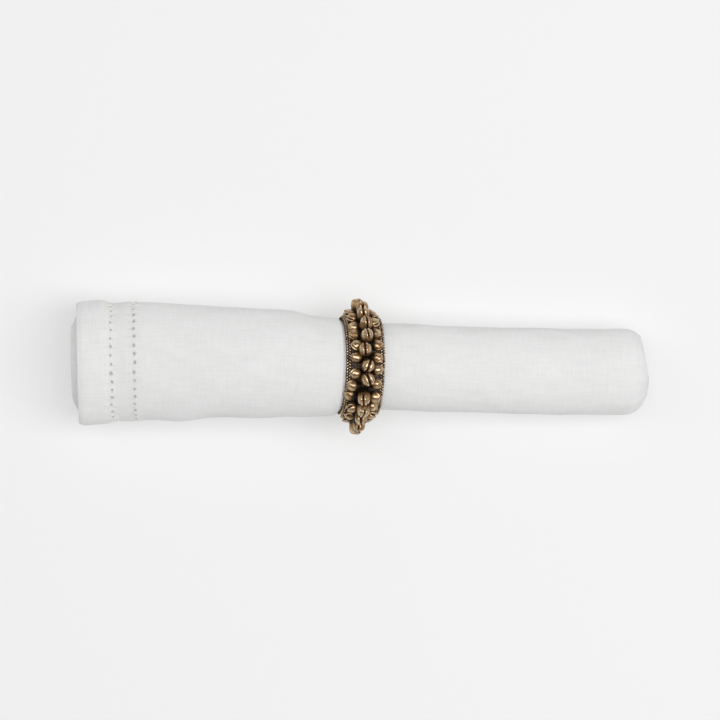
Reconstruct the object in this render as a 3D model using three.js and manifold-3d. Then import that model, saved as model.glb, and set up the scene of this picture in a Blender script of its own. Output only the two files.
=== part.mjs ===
// A white cotton napkin, folded once, rolled up and held by a beaded brass napkin ring.
// Millimetres. +X runs along the roll to its folded end, +Z is up from the table.
// The origin lies on the table, under the middle of the whole.
import * as THREE from "three";
import { mergeVertices } from "three/addons/utils/BufferGeometryUtils.js";
import Module from "manifold-3d";

const wasm = await Module();
wasm.setup();

// The napkin: a square folded once, so the strip that is rolled up is twice as long as wide.
const NAPKIN = {
  side: 508,
  cloth: 1.1, // both plies, laid together
  hem: 2.2, // both plies within the hems of the open end
  hemLine: -112, // where the hems of the open end stop
  hemStep: 3,
};

// How the strip is wound. A turn is counted from the free edge under the roll, inwards.
const WINDING = {
  seam: THREE.MathUtils.degToRad(-112), // where the free edge lies, from +Y over the top
  turnsOpenEnd: 5.15,
  turnsFoldedEnd: 5.9,
  tightFrom: 60, // where along the roll it has all the turns of the folded end
  sinkBefore: 0.25, // the share of a turn before the seam in which a turn starts to sink
  sinkAfter: 0.15, // and the share past the seam by which it lies one pitch deeper
  outerSteps: 28,
  innerSteps: 12,
  roundAfter: 0.75, // inner turns are rounder than the outer one
  roundBy: 1.25,
  outline: 0.55, // how much of the outline's oval the second turn keeps
  outlineCore: 0.15,
};

// Cross sections of the roll. A row gives where its centre lies and its half sizes.
const SECTIONS = [
  { x: -125.5, halfWidth: 27.7, halfHeight: 21.9, y: 1.0, z: 21.2 },
  { x: -116.0, halfWidth: 27.8, halfHeight: 22.0, y: 1.5, z: 21.2 },
  { x: -109.0, halfWidth: 26.3, halfHeight: 21.6, y: 1.4, z: 20.9 },
  { x: -104.5, halfWidth: 26.7, halfHeight: 21.8, y: 1.9, z: 21.5 },
  { x: -95.0, halfWidth: 26.4, halfHeight: 21.9, y: 2.1, z: 22.6 },
  { x: -79.0, halfWidth: 26.1, halfHeight: 22.1, y: 1.4, z: 24.1 },
  { x: -66.0, halfWidth: 25.0, halfHeight: 22.3, y: 1.7, z: 25.6 },
  { x: -48.0, halfWidth: 24.5, halfHeight: 22.4, y: 1.2, z: 27.6 },
  { x: -31.0, halfWidth: 23.7, halfHeight: 22.4, y: 0.9, z: 29.6 },
  { x: -23.5, halfWidth: 22.3, halfHeight: 21.8, y: -0.4, z: 30.6 },
  { x: -14.0, halfWidth: 21.9, halfHeight: 21.5, y: -0.5, z: 31.6 },
  { x: -10.4, halfWidth: 21.3, halfHeight: 21.0, y: -0.2, z: 31.3 },
  { x: -9.7, halfWidth: 19.3, halfHeight: 19.1, y: 0.2, z: 31.2 },
  { x: 8.4, halfWidth: 19.3, halfHeight: 19.1, y: -0.2, z: 28.55 },
  { x: 22.0, halfWidth: 19.4, halfHeight: 19.2, y: -0.7, z: 26.8 },
  { x: 44.0, halfWidth: 19.1, halfHeight: 19.0, y: -1.6, z: 24.1 },
  { x: 76.0, halfWidth: 19.25, halfHeight: 18.9, y: -2.3, z: 20.6 },
  { x: 100.0, halfWidth: 19.2, halfHeight: 18.8, y: -2.75, z: 18.0 },
  { x: 112.0, halfWidth: 19.25, halfHeight: 18.8, y: -2.6, z: 18.0 },
  { x: 117.0, halfWidth: 19.25, halfHeight: 18.8, y: -2.6, z: 18.0 },
  { x: 119.5, halfWidth: 19.25, halfHeight: 18.8, y: -2.6, z: 18.0 },
  { x: 121.0, halfWidth: 19.25, halfHeight: 18.8, y: -2.6, z: 18.0 },
];

// How far the cloth's open edge stands out past the first section, by turns from the outside.
const OPEN_EDGE = [
  { turn: 0.0, out: 0.0 },
  { turn: 0.9, out: 0.0 },
  { turn: 1.3, out: 1.5 },
  { turn: 1.9, out: 1.7 },
  { turn: 2.4, out: 2.8 },
  { turn: 3.4, out: 2.4 },
  { turn: 4.4, out: 2.6 },
  { turn: 6.0, out: 2.0 },
];
const OPEN_SHIFT_LENGTH = 10;
const OPEN_SLANT = 0.02; // the open end recedes towards -Y, for each millimetre

// The folded end is a dome: all turns draw in towards it, and inner turns stand out a little further.
const FOLDED_END = {
  domeFrom: 116.2,
  domeLength: 12.6,
  domePower: 2.5, // 2 is an ellipse, and more is squarer
  reach: 128.27, // where the innermost turn's fold lies
  outerShort: 2.4, // how much less far the outer turn reaches
  shortPower: 4,
  slant: 0.05, // the folded end recedes towards +Y, for each millimetre
  shiftLength: 16,
};

// The ring leans with its top towards the folded end, and is turned a little on the table.
const RING = {
  x: -0.76,
  z: 29.93,
  lean: THREE.MathUtils.degToRad(8.4),
  turn: THREE.MathUtils.degToRad(1.3),
  bore: 19.7,
  bandThickness: 0.9,
  halfWidth: 8.6,
  steps: 48,
  gap: 0.3,
};
const RIM = { width: 2.3, height: 1.0, groove: 0.3 };
const STRING = { thickness: 0.6, halfWidth: 0.8 };
const BELLS_PER_STRING = 24;

// Half profiles of the bells, from the stringing hole to the tip, for a bell one unit tall.
const BELL_PROFILE = [
  { radius: 0, height: 0 },
  { radius: 0.58, height: 0 },
  { radius: 1, height: 0.4 },
  { radius: 0.94, height: 0.66 },
  { radius: 0.58, height: 0.9 },
  { radius: 0, height: 1 },
];
const CENTRE_BELL = { height: 10.2, width: 5.7, sides: 8, slit: 2.3, axial: 0, seat: 0, tilt: 0 };
const SIDE_BELL = {
  height: 5.2,
  width: 4.6,
  sides: 7,
  slit: 0.9,
  axial: 2.95,
  seat: 0.95,
  tilt: THREE.MathUtils.degToRad(40),
};
const SLIT = { width: 0.9, from: 0.5, length: 0.4 }; // where it starts and how soon it is full, in heights

// How far the roll's sections lean with the ring, and over what length that fades.
const LEAN_FADE = { full: 16, none: 70 };

const FINISHES = {
  cotton: { color: 0xf2f1ee, roughness: 0.95, metalness: 0 },
  darkWeave: { color: 0x2e2418, roughness: 0.7, metalness: 0.2 },
  rimBeads: { color: 0x4a3a24, roughness: 0.5, metalness: 0.6 },
  bellBrass: { color: 0x9a7440, roughness: 0.35, metalness: 0.9 },
};

const WELD = 1e-4; // corners closer than this are one
const AREA_STEPS = 400;

const smooth = (t) => {
  const c = THREE.MathUtils.clamp(t, 0, 1);
  return c * c * (3 - 2 * c);
};

// A geometry without its seams, so that neighbouring faces share their corners.
function welded(geometry) {
  const bare = geometry.clone();
  bare.deleteAttribute("normal");
  bare.deleteAttribute("uv");
  return mergeVertices(bare, WELD);
}

function toSolid(geometry) {
  const merged = welded(geometry);
  return new wasm.Manifold(
    new wasm.Mesh({
      numProp: 3,
      vertProperties: new Float32Array(merged.attributes.position.array),
      triVerts: new Uint32Array(merged.index.array),
    }),
  );
}

function toGeometry(solid) {
  const mesh = solid.getMesh();
  const geometry = new THREE.BufferGeometry();
  geometry.setAttribute("position", new THREE.BufferAttribute(mesh.vertProperties, 3));
  geometry.setIndex(new THREE.BufferAttribute(mesh.triVerts, 1));
  geometry.computeVertexNormals();
  return geometry;
}

// The depth of a turn under the outer one, in pitches: level, then one pitch down at each seam.
function depthInPitches(turn) {
  const { sinkBefore, sinkAfter } = WINDING;
  const seams = Math.floor(turn + sinkBefore);
  const sunk = smooth((turn + sinkBefore - seams) / (sinkBefore + sinkAfter));
  return Math.max(0, seams - 1 + sunk);
}

// The area under depthInPitches from 0 to a number of turns.
function depthSum(turns) {
  let sum = 0;
  for (let i = 0; i < AREA_STEPS; i++) {
    sum += depthInPitches(((i + 0.5) / AREA_STEPS) * turns);
  }
  return (sum / AREA_STEPS) * turns;
}

function turnsAt(x) {
  const first = SECTIONS[0].x;
  const share = smooth((x - first) / (WINDING.tightFrom - first));
  return THREE.MathUtils.lerp(WINDING.turnsOpenEnd, WINDING.turnsFoldedEnd, share);
}

// The pitch at which a strip of the napkin's length fills the section in that many turns.
function pitchAt(section, turns) {
  const radius = (section.halfWidth + section.halfHeight) / 2;
  return (turns * radius - NAPKIN.side / (2 * Math.PI)) / depthSum(turns);
}

function thicknessAt(x) {
  return THREE.MathUtils.lerp(NAPKIN.hem, NAPKIN.cloth, smooth((x - NAPKIN.hemLine) / NAPKIN.hemStep));
}

function openEdgeAt(turn) {
  const after = Math.max(1, OPEN_EDGE.findIndex((row) => row.turn >= turn));
  const [a, b] = [OPEN_EDGE[after - 1], OPEN_EDGE[after]];
  return THREE.MathUtils.lerp(a.out, b.out, smooth((turn - a.turn) / (b.turn - a.turn)));
}

// How much of the outline's departure from a circle a turn keeps.
function outlineKept(turn) {
  const { roundAfter, roundBy, outline, outlineCore, turnsFoldedEnd } = WINDING;
  const second = THREE.MathUtils.lerp(1, outline, smooth((turn - roundAfter) / (roundBy - roundAfter)));
  const core = smooth((turn - roundBy) / (turnsFoldedEnd - roundBy));
  return THREE.MathUtils.lerp(second, outlineCore, core);
}

// The oval outline of a section, cut off level where it would sink into the table.
function outlineRadius(section, angle) {
  const across = Math.cos(angle) / section.halfWidth;
  const up = Math.sin(angle) / section.halfHeight;
  const oval = 1 / Math.hypot(across, up);
  const toTable = up < 0 ? section.z / -Math.sin(angle) : Infinity;
  return Math.min(oval, toTable);
}

// How far a point near the folded end moves along the roll, so that its turn ends where it should.
function foldOutAt(section, share, y) {
  const { reach, outerShort, shortPower, slant, shiftLength } = FOLDED_END;
  const last = SECTIONS.at(-1).x;
  const foldX = reach - outerShort * share ** shortPower - slant * y;
  return (foldX - last) * (1 - smooth((last - section.x) / shiftLength));
}

// The share of its radius that a turn keeps at a place along the roll, 1 as far as the dome.
function domeShare(x) {
  const { domeFrom, domeLength, domePower } = FOLDED_END;
  const along = THREE.MathUtils.clamp((x - domeFrom) / domeLength, 0, 1);
  return (1 - along ** domePower) ** (1 / domePower);
}

// One point of the rolled cloth: a section, a turn, and how far below the outer face, 0 or 1.
function clothPoint(section, turn, below) {
  const turns = turnsAt(section.x);
  const wound = turn <= 1 ? turn : 1 + ((turn - 1) * (turns - 1)) / (WINDING.turnsFoldedEnd - 1);
  const pitch = pitchAt(section, turns);
  const angle = WINDING.seam + 2 * Math.PI * wound;
  const mean = (section.halfWidth + section.halfHeight) / 2;
  const depth = pitch * depthInPitches(wound);
  const share = 1 - depth / mean;
  const departure = (outlineRadius(section, angle) - mean) * outlineKept(wound);
  const rolled = mean + departure - depth;

  const foldOut = foldOutAt(section, share, rolled * Math.cos(angle));
  const radius = rolled * domeShare(section.x + foldOut) - below * thicknessAt(section.x);
  const y = radius * Math.cos(angle);
  const z = Math.max(radius * Math.sin(angle), -section.z);

  const leanShare = 1 - smooth((Math.abs(section.x) - LEAN_FADE.full) / (LEAN_FADE.none - LEAN_FADE.full));
  const lean = leanShare * (z * Math.tan(RING.lean) + y * Math.tan(RING.turn));

  const fromOpen = section.x - SECTIONS[0].x;
  const openOut = (openEdgeAt(wound) + OPEN_SLANT * y) * (1 - smooth(fromOpen / OPEN_SHIFT_LENGTH));

  return new THREE.Vector3(section.x + lean - openOut + foldOut, section.y + y, section.z + z);
}

// The rolled napkin: a flat box of two plies, bent into its turns.
function napkinGeometry() {
  const { outerSteps, innerSteps, turnsFoldedEnd } = WINDING;
  const around = outerSteps + Math.round((turnsFoldedEnd - 1) * innerSteps);
  const along = SECTIONS.length - 1;
  const flat = welded(new THREE.BoxGeometry(1, 1, 1, along, around, 1));
  const position = flat.attributes.position;
  for (let i = 0; i < position.count; i++) {
    const section = SECTIONS[Math.round((position.getX(i) + 0.5) * along)];
    const step = Math.round((position.getY(i) + 0.5) * around);
    const turn =
      step <= outerSteps
        ? step / outerSteps
        : 1 + ((step - outerSteps) / (around - outerSteps)) * (turnsFoldedEnd - 1);
    const point = clothPoint(section, turn, position.getZ(i) < 0 ? 0 : 1);
    position.setXYZ(i, point.x, point.y, point.z);
  }
  flat.computeVertexNormals();
  return flat;
}

// A hoop round the X axis from a closed half profile of axial and radial places.
function hoopGeometry(profile) {
  const points = profile.map(({ axial, radius }) => new THREE.Vector2(radius, axial));
  points.push(points[0].clone());
  const hoop = new THREE.LatheGeometry(points, RING.steps);
  return hoop.rotateZ(-Math.PI / 2);
}

function boxHoop(from, to, inner, outer) {
  return hoopGeometry([
    { axial: from, radius: inner },
    { axial: from, radius: outer },
    { axial: to, radius: outer },
    { axial: to, radius: inner },
  ]);
}

const bandOuter = RING.bore + RING.bandThickness;
const seatRadius = bandOuter + RING.gap;

// One edge of the ring: two rows of seed beads side by side, as one ribbed bead of work.
function rimGeometry(side) {
  const outer = side * RING.halfWidth;
  const inner = side * (RING.halfWidth - RIM.width);
  const middle = (outer + inner) / 2;
  const top = seatRadius + RIM.height;
  const rows = [
    { axial: inner, radius: seatRadius },
    { axial: inner, radius: top },
    { axial: middle, radius: top - RIM.groove },
    { axial: outer, radius: top },
    { axial: outer, radius: seatRadius },
  ];
  return hoopGeometry(side > 0 ? rows : rows.reverse());
}

// A bell: a bud with a slit between two lips, standing on the X axis of its own frame.
function bellGeometry(bell) {
  const points = BELL_PROFILE.map(
    (row) => new THREE.Vector2((row.radius * bell.width) / 2, row.height * bell.height),
  );
  const bud = welded(new THREE.LatheGeometry(points, bell.sides));
  const position = bud.attributes.position;
  for (let i = 0; i < position.count; i++) {
    const towardsTip = smooth((position.getY(i) / bell.height - SLIT.from) / SLIT.length);
    const inSlit = Math.exp(-((position.getX(i) / SLIT.width) ** 2));
    position.setY(i, position.getY(i) - bell.slit * towardsTip * inSlit);
  }
  return bud;
}

// A string of bells round the ring, on the tape that they are threaded on.
function bellString(bell, side, phase) {
  const axial = side * bell.axial;
  const tape = boxHoop(
    axial - STRING.halfWidth,
    axial + STRING.halfWidth,
    seatRadius,
    seatRadius + STRING.thickness,
  );
  let string = toSolid(tape);
  for (let i = 0; i < BELLS_PER_STRING; i++) {
    const place = new THREE.Matrix4()
      .makeRotationX(((i + phase) / BELLS_PER_STRING) * 2 * Math.PI)
      .multiply(new THREE.Matrix4().makeTranslation(axial, 0, seatRadius + bell.seat))
      .multiply(new THREE.Matrix4().makeRotationY(side * bell.tilt))
      .multiply(new THREE.Matrix4().makeRotationX(Math.PI / 2));
    string = string.add(toSolid(bellGeometry(bell).applyMatrix4(place)));
  }
  return toGeometry(string);
}

function piece(name, geometry, finish) {
  const mesh = new THREE.Mesh(geometry, new THREE.MeshStandardMaterial(finish));
  mesh.name = name;
  return mesh;
}

const ring = new THREE.Group();
ring.position.set(RING.x, 0, RING.z);
ring.rotation.set(0, RING.lean, -RING.turn, "ZYX");
ring.add(
  piece("ring_band", boxHoop(-RING.halfWidth, RING.halfWidth, RING.bore, bandOuter), FINISHES.darkWeave),
  piece("ring_rim_open_side", rimGeometry(-1), FINISHES.rimBeads),
  piece("ring_rim_fold_side", rimGeometry(1), FINISHES.rimBeads),
  piece("bells_centre", bellString(CENTRE_BELL, 1, 0), FINISHES.bellBrass),
  piece("bells_open_side", bellString(SIDE_BELL, -1, 0.5), FINISHES.bellBrass),
  piece("bells_fold_side", bellString(SIDE_BELL, 1, 0.33), FINISHES.bellBrass),
);

const napkinInRing = new THREE.Group();
napkinInRing.add(piece("napkin", napkinGeometry(), FINISHES.cotton), ring);

export default napkinInRing;
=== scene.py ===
"""A white hemstitched cotton napkin, folded once, rolled up and held by a ring of antique brass bells.

The napkin and the ring are rebuilt here as fine meshes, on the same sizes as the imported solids.
Lengths in the classes are millimetres, and the meshes are made in metres.
"""

import logging
import math
from dataclasses import dataclass, field
from enum import Enum

import bpy
import numpy as np
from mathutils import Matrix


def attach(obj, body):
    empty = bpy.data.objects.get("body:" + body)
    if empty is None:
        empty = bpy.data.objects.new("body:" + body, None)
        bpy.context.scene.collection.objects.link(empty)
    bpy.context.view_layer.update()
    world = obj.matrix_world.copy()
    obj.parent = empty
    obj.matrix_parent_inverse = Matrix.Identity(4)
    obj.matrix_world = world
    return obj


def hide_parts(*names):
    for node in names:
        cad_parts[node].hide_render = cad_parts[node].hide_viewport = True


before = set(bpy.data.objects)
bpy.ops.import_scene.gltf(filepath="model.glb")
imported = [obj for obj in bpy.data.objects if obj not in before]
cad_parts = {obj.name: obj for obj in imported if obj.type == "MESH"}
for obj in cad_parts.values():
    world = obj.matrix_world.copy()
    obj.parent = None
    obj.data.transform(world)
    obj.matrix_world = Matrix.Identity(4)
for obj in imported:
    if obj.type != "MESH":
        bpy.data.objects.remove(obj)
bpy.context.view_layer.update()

LOG = logging.getLogger("napkin")
MM = 0.001
FULL_TURN = 2 * math.pi
PHOTO_PIXELS = 720


def smooth(share: np.ndarray | float) -> np.ndarray:
    """An S-shaped step.

    Args:
        share: where on the step, below 0 before it and above 1 past it.

    Returns:
        0 before the step, 1 past it, and share squared times (3 minus twice share) on it.
    """
    held = np.clip(share, 0.0, 1.0)
    return held * held * (3 - 2 * held)


def eased(at: np.ndarray, knots: np.ndarray, values: np.ndarray) -> np.ndarray:
    """A smooth line through the knots that never passes beyond its two neighbouring values.

    Each stretch is a cubic, whose slope at a knot is the harmonic mean of the slopes on either
    side, or level where they differ in sign.

    Args:
        at: where to read the line.
        knots: rising places.
        values: one value at each knot.

    Returns:
        The line's value at each place.
    """
    gap = np.diff(knots)
    rise = np.diff(values) / gap
    product = rise[:-1] * rise[1:]
    total = rise[:-1] + rise[1:]
    inner = np.where(product > 0, 2 * product / np.where(product > 0, total, 1.0), 0.0)
    slope = np.concatenate([[0.0], inner, [0.0]])
    cell = np.clip(np.searchsorted(knots, at, side="right") - 1, 0, len(gap) - 1)
    share = np.clip((at - knots[cell]) / gap[cell], 0.0, 1.0)
    cube, square = share**3, share**2
    return (
        (2 * cube - 3 * square + 1) * values[cell]
        + (cube - 2 * square + share) * gap[cell] * slope[cell]
        + (3 * square - 2 * cube) * values[cell + 1]
        + (cube - square) * gap[cell] * slope[cell + 1]
    )


@dataclass
class Patch:
    """A mesh in the making: corners in millimetres, faces, and values at the corners."""

    points: np.ndarray
    quads: np.ndarray = field(default_factory=lambda: np.zeros((0, 4), int))
    triangles: np.ndarray = field(default_factory=lambda: np.zeros((0, 3), int))
    values: dict[str, np.ndarray] = field(default_factory=dict)
    uv: np.ndarray | None = None

    def volume(self) -> float:
        """The volume inside the faces, as the sum of the pyramids from the origin to each.

        Returns:
            The volume, negative when the faces point inwards.
        """
        halves = [self.quads[:, [0, 1, 2]], self.quads[:, [0, 2, 3]], self.triangles]
        a, b, c = (self.points[np.concatenate(halves)[:, k]] for k in range(3))
        return float(np.einsum("ij,ij->i", a, np.cross(b, c)).sum() / 6)

    def outward(self) -> "Patch":
        """Turns the faces to point out, where they point in.

        Returns:
            The same patch.
        """
        if self.volume() < 0:
            self.quads = self.quads[:, ::-1]
            self.triangles = self.triangles[:, ::-1]
        return self

    def compact(self) -> "Patch":
        """Drops the corners that no face uses.

        Returns:
            The same patch.
        """
        used = np.unique(np.concatenate([self.quads.ravel(), self.triangles.ravel()]))
        place = np.full(len(self.points), -1)
        place[used] = np.arange(len(used))
        self.points = self.points[used]
        self.quads = place[self.quads]
        self.triangles = place[self.triangles]
        self.values = {name: value[used] for name, value in self.values.items()}
        self.uv = None if self.uv is None else self.uv[used]
        return self

    def add_to_scene(self, name: str, sharp_deg: float = 180.0) -> bpy.types.Object:
        """Puts the patch into the scene as a smooth mesh in metres, its place in its corners.

        Args:
            name: the piece's name.
            sharp_deg: edges that turn by more than this are shaded sharp.

        Returns:
            The new object, at the origin.
        """
        mesh = bpy.data.meshes.new(name)
        corners = np.concatenate([self.quads.ravel(), self.triangles.ravel()])
        sizes = np.repeat([4, 3], [len(self.quads), len(self.triangles)])
        mesh.vertices.add(len(self.points))
        mesh.vertices.foreach_set("co", (self.points * MM).astype(np.float32).ravel())
        mesh.loops.add(len(corners))
        mesh.loops.foreach_set("vertex_index", corners.astype(np.int32))
        mesh.polygons.add(len(sizes))
        mesh.polygons.foreach_set("loop_start", (np.cumsum(sizes) - sizes).astype(np.int32))
        mesh.polygons.foreach_set("use_smooth", np.ones(len(sizes), bool))
        if self.uv is not None:
            layer = mesh.uv_layers.new(name=CLOTH_UV)
            layer.data.foreach_set("uv", self.uv[corners].astype(np.float32).ravel())
        for label, value in self.values.items():
            attribute = mesh.attributes.new(label, "FLOAT", "POINT")
            attribute.data.foreach_set("value", value.astype(np.float32))
        mesh.update(calc_edges=True)
        mesh.validate()
        if sharp_deg < 180.0:
            mesh.set_sharp_from_angle(angle=math.radians(sharp_deg))
        made = bpy.data.objects.new(name, mesh)
        bpy.context.scene.collection.objects.link(made)
        return made


def joined(patches: list[Patch]) -> Patch:
    """Several patches as one.

    Args:
        patches: the patches, each with at least the values that the first one has.

    Returns:
        One patch with all their corners and faces, and the first one's values.
    """
    starts = np.cumsum([0] + [len(patch.points) for patch in patches[:-1]])
    return Patch(
        points=np.concatenate([patch.points for patch in patches]),
        quads=np.concatenate([patch.quads + start for patch, start in zip(patches, starts)]),
        triangles=np.concatenate([patch.triangles + start for patch, start in zip(patches, starts)]),
        values={
            name: np.concatenate([patch.values[name] for patch in patches])
            for name in patches[0].values
        },
    )


def wrapped_quads(rows: int, columns: int, close_rows: bool) -> np.ndarray:
    """Faces of a grid whose columns close on themselves.

    Args:
        rows: how many rows of corners there are.
        columns: how many corners a row has.
        close_rows: whether the last row is joined to the first.

    Returns:
        Four corner numbers for each face, shaped (rows, columns, 4).
    """
    row = np.arange(rows if close_rows else rows - 1)[:, None]
    column = np.arange(columns)[None, :]
    next_row = (row + 1) % rows
    next_column = (column + 1) % columns
    ends = [(row, column), (row, next_column), (next_row, next_column), (next_row, column)]
    return np.stack([r * columns + c for r, c in ends], axis=-1)


def closed_bead(rings: np.ndarray, start: np.ndarray, end: np.ndarray) -> Patch:
    """A closed form from rings of corners between two poles.

    Args:
        rings: corners shaped (rings, around, 3).
        start: the pole before the first ring.
        end: the pole past the last ring.

    Returns:
        The form, its faces pointing out.
    """
    count, around, _ = rings.shape
    column = np.arange(around)
    following = (column + 1) % around
    last = (count - 1) * around
    first_pole = np.full(around, count * around)
    fans = [
        np.stack([first_pole, following, column], axis=-1),
        np.stack([first_pole + 1, last + column, last + following], axis=-1),
    ]
    return Patch(
        points=np.concatenate([rings.reshape(-1, 3), start[None], end[None]]),
        quads=wrapped_quads(count, around, close_rows=False).reshape(-1, 4)[:, ::-1],
        triangles=np.concatenate(fans)[:, ::-1],
    ).outward()


def repeated(shape: Patch, turns: np.ndarray, moves: np.ndarray, sizes: np.ndarray) -> Patch:
    """Copies of a shape, each sized, turned and moved.

    Args:
        shape: the shape in its own frame.
        turns: one 3 by 3 turn for each copy.
        moves: one place for each copy.
        sizes: one size for each copy, as (copies, 3) along the shape's own axes.

    Returns:
        All copies as one patch.
    """
    copies = len(moves)
    start = (np.arange(copies) * len(shape.points))[:, None, None]
    sized = shape.points[None] * sizes[:, None]
    return Patch(
        points=(np.einsum("cij,cpj->cpi", turns, sized) + moves[:, None]).reshape(-1, 3),
        quads=(shape.quads[None] + start).reshape(-1, 4),
        triangles=(shape.triangles[None] + start).reshape(-1, 3),
        values={name: np.tile(value, copies) for name, value in shape.values.items()},
    )


def turned(axis: int, angle: np.ndarray | float) -> np.ndarray:
    """Right-handed turns about one axis.

    Args:
        axis: 0, 1 or 2 for X, Y or Z.
        angle: one angle or several, in radians.

    Returns:
        A 3 by 3 matrix for each angle.
    """
    angles = np.atleast_1d(angle)
    made = np.zeros((len(angles), 3, 3))
    b, c = (axis + 1) % 3, (axis + 2) % 3
    made[:, axis, axis] = 1
    made[:, b, b] = made[:, c, c] = np.cos(angles)
    made[:, c, b] = np.sin(angles)
    made[:, b, c] = -np.sin(angles)
    return made


CLOTH_UV = "cloth"
# the share of painted shade in recesses, hole floors and weave gaps; on brass it also carries tarnish
RECESS = "recess"
TONE = "tone"
Triple = tuple[float, float, float]
Colour = Triple
Input = float | Triple | bpy.types.NodeSocket


class Graph:
    """A node tree that is filled a node at a time."""

    def __init__(self, tree: bpy.types.NodeTree) -> None:
        """Starts on a tree that is empty or has only its group sockets."""
        self.tree = tree

    def set(self, socket: bpy.types.NodeSocket, value: Input) -> None:
        """Links a socket to another, or gives it a plain value.

        Args:
            socket: the input socket.
            value: an output socket, a number or a colour.
        """
        if isinstance(value, bpy.types.NodeSocket):
            self.tree.links.new(value, socket)
        elif socket.type == "RGBA":
            socket.default_value = (*value, 1.0)
        else:
            socket.default_value = value

    def node(self, kind: str, inputs: dict[str | int, Input], **settings: object) -> bpy.types.Node:
        """Adds a node.

        Args:
            kind: Blender's name of the node type.
            inputs: a value or a socket for each input that isn't left as it is.
            settings: the node's own settings.

        Returns:
            The new node.
        """
        made = self.tree.nodes.new(kind)
        for name, value in settings.items():
            setattr(made, name, value)
        for key, value in inputs.items():
            self.set(made.inputs[key], value)
        return made

    def maths(self, operation: str, *terms: Input, clamp: bool = False) -> bpy.types.NodeSocket:
        """The result of one arithmetic step on one to three terms."""
        inputs = dict(enumerate(terms))
        return self.node("ShaderNodeMath", inputs, operation=operation, use_clamp=clamp).outputs[0]

    def mixed(self, share: Input, first: Input, second: Input) -> bpy.types.NodeSocket:
        """A colour between two, by a share from 0 to 1."""
        inputs = {"Factor": share, 6: first, 7: second}
        return self.node("ShaderNodeMix", inputs, data_type="RGBA").outputs[2]

    def between(self, value: Input, low: Input, high: Input) -> bpy.types.NodeSocket:
        """A number between low and high, by a share from 0 to 1."""
        inputs = {"Value": value, "To Min": low, "To Max": high}
        return self.node("ShaderNodeMapRange", inputs, clamp=True).outputs[0]

    def noise(self, at: bpy.types.NodeSocket, scale: Input, detail: float = 2.0) -> bpy.types.NodeSocket:
        """Soft noise from 0 to 1 at a place, with scale patches to a unit."""
        inputs = {"Vector": at, "Scale": scale, "Detail": detail}
        return self.node("ShaderNodeTexNoise", inputs).outputs["Fac"]

    def stretched(self, at: bpy.types.NodeSocket, scale: Triple) -> bpy.types.NodeSocket:
        """A place scaled along each axis."""
        return self.node("ShaderNodeMapping", {"Vector": at, "Scale": scale}).outputs[0]

    def attribute(self, name: str) -> bpy.types.NodeSocket:
        """The number that the mesh holds at its corners under a name."""
        return self.node("ShaderNodeAttribute", {}, attribute_name=name).outputs["Fac"]

    def bump(self, height: Input, strength: float, depth: float, under: Input | None) -> bpy.types.NodeSocket:
        """A normal raised by a height.

        Args:
            height: the height, in units of depth.
            strength: how much of it shows, from 0 to 1.
            depth: the real height of one unit, in millimetres.
            under: the normal below it, or None for the surface's own.

        Returns:
            The raised normal.
        """
        inputs = {"Height": height, "Strength": strength, "Distance": depth * MM}
        if under is not None:
            inputs["Normal"] = under
        return self.node("ShaderNodeBump", inputs).outputs[0]


@dataclass(frozen=True)
class GroupSockets:
    """The names of a shader group's inputs with their usual values, and of its outputs."""

    vectors: tuple[str, ...]
    numbers: tuple[tuple[str, float], ...]
    outputs: tuple[str, ...]


class ShaderGroup:
    """An effect that several finishes share: built once, and placed with each finish's own values."""

    name = ""
    sockets = GroupSockets((), (), ())

    def tree(self) -> bpy.types.NodeTree:
        """The group's tree, built the first time that it is asked for.

        Returns:
            The tree, with its sockets made and its nodes linked.
        """
        found = bpy.data.node_groups.get(self.name)
        if found:
            return found
        tree = bpy.data.node_groups.new(self.name, "ShaderNodeTree")
        for label in self.sockets.vectors:
            tree.interface.new_socket(name=label, in_out="INPUT", socket_type="NodeSocketVector")
        for label, usual in self.sockets.numbers:
            made = tree.interface.new_socket(name=label, in_out="INPUT", socket_type="NodeSocketFloat")
            made.default_value = usual
        for label in self.sockets.outputs:
            tree.interface.new_socket(name=label, in_out="OUTPUT", socket_type="NodeSocketFloat")
        entry = tree.nodes.new("NodeGroupInput")
        exit_node = tree.nodes.new("NodeGroupOutput")
        for label, result in self.build(Graph(tree), entry).items():
            tree.links.new(result, exit_node.inputs[label])
        return tree

    def build(self, graph: Graph, entry: bpy.types.Node) -> dict[str, bpy.types.NodeSocket]:
        """Fills the group's tree.

        Args:
            graph: the group's own graph.
            entry: the node whose outputs are the group's inputs.

        Returns:
            What each of the group's outputs shows.
        """
        raise NotImplementedError

    def place(self, graph: Graph, inputs: dict[str, Input]) -> bpy.types.Node:
        """Puts the group into a finish with that finish's own values.

        Args:
            graph: the finish's graph.
            inputs: a value or a socket for each of the group's inputs that isn't left as it is.

        Returns:
            The group's node in the finish.
        """
        made = graph.tree.nodes.new("ShaderNodeGroup")
        made.node_tree = self.tree()
        for label, value in inputs.items():
            graph.set(made.inputs[label], value)
        return made


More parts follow.
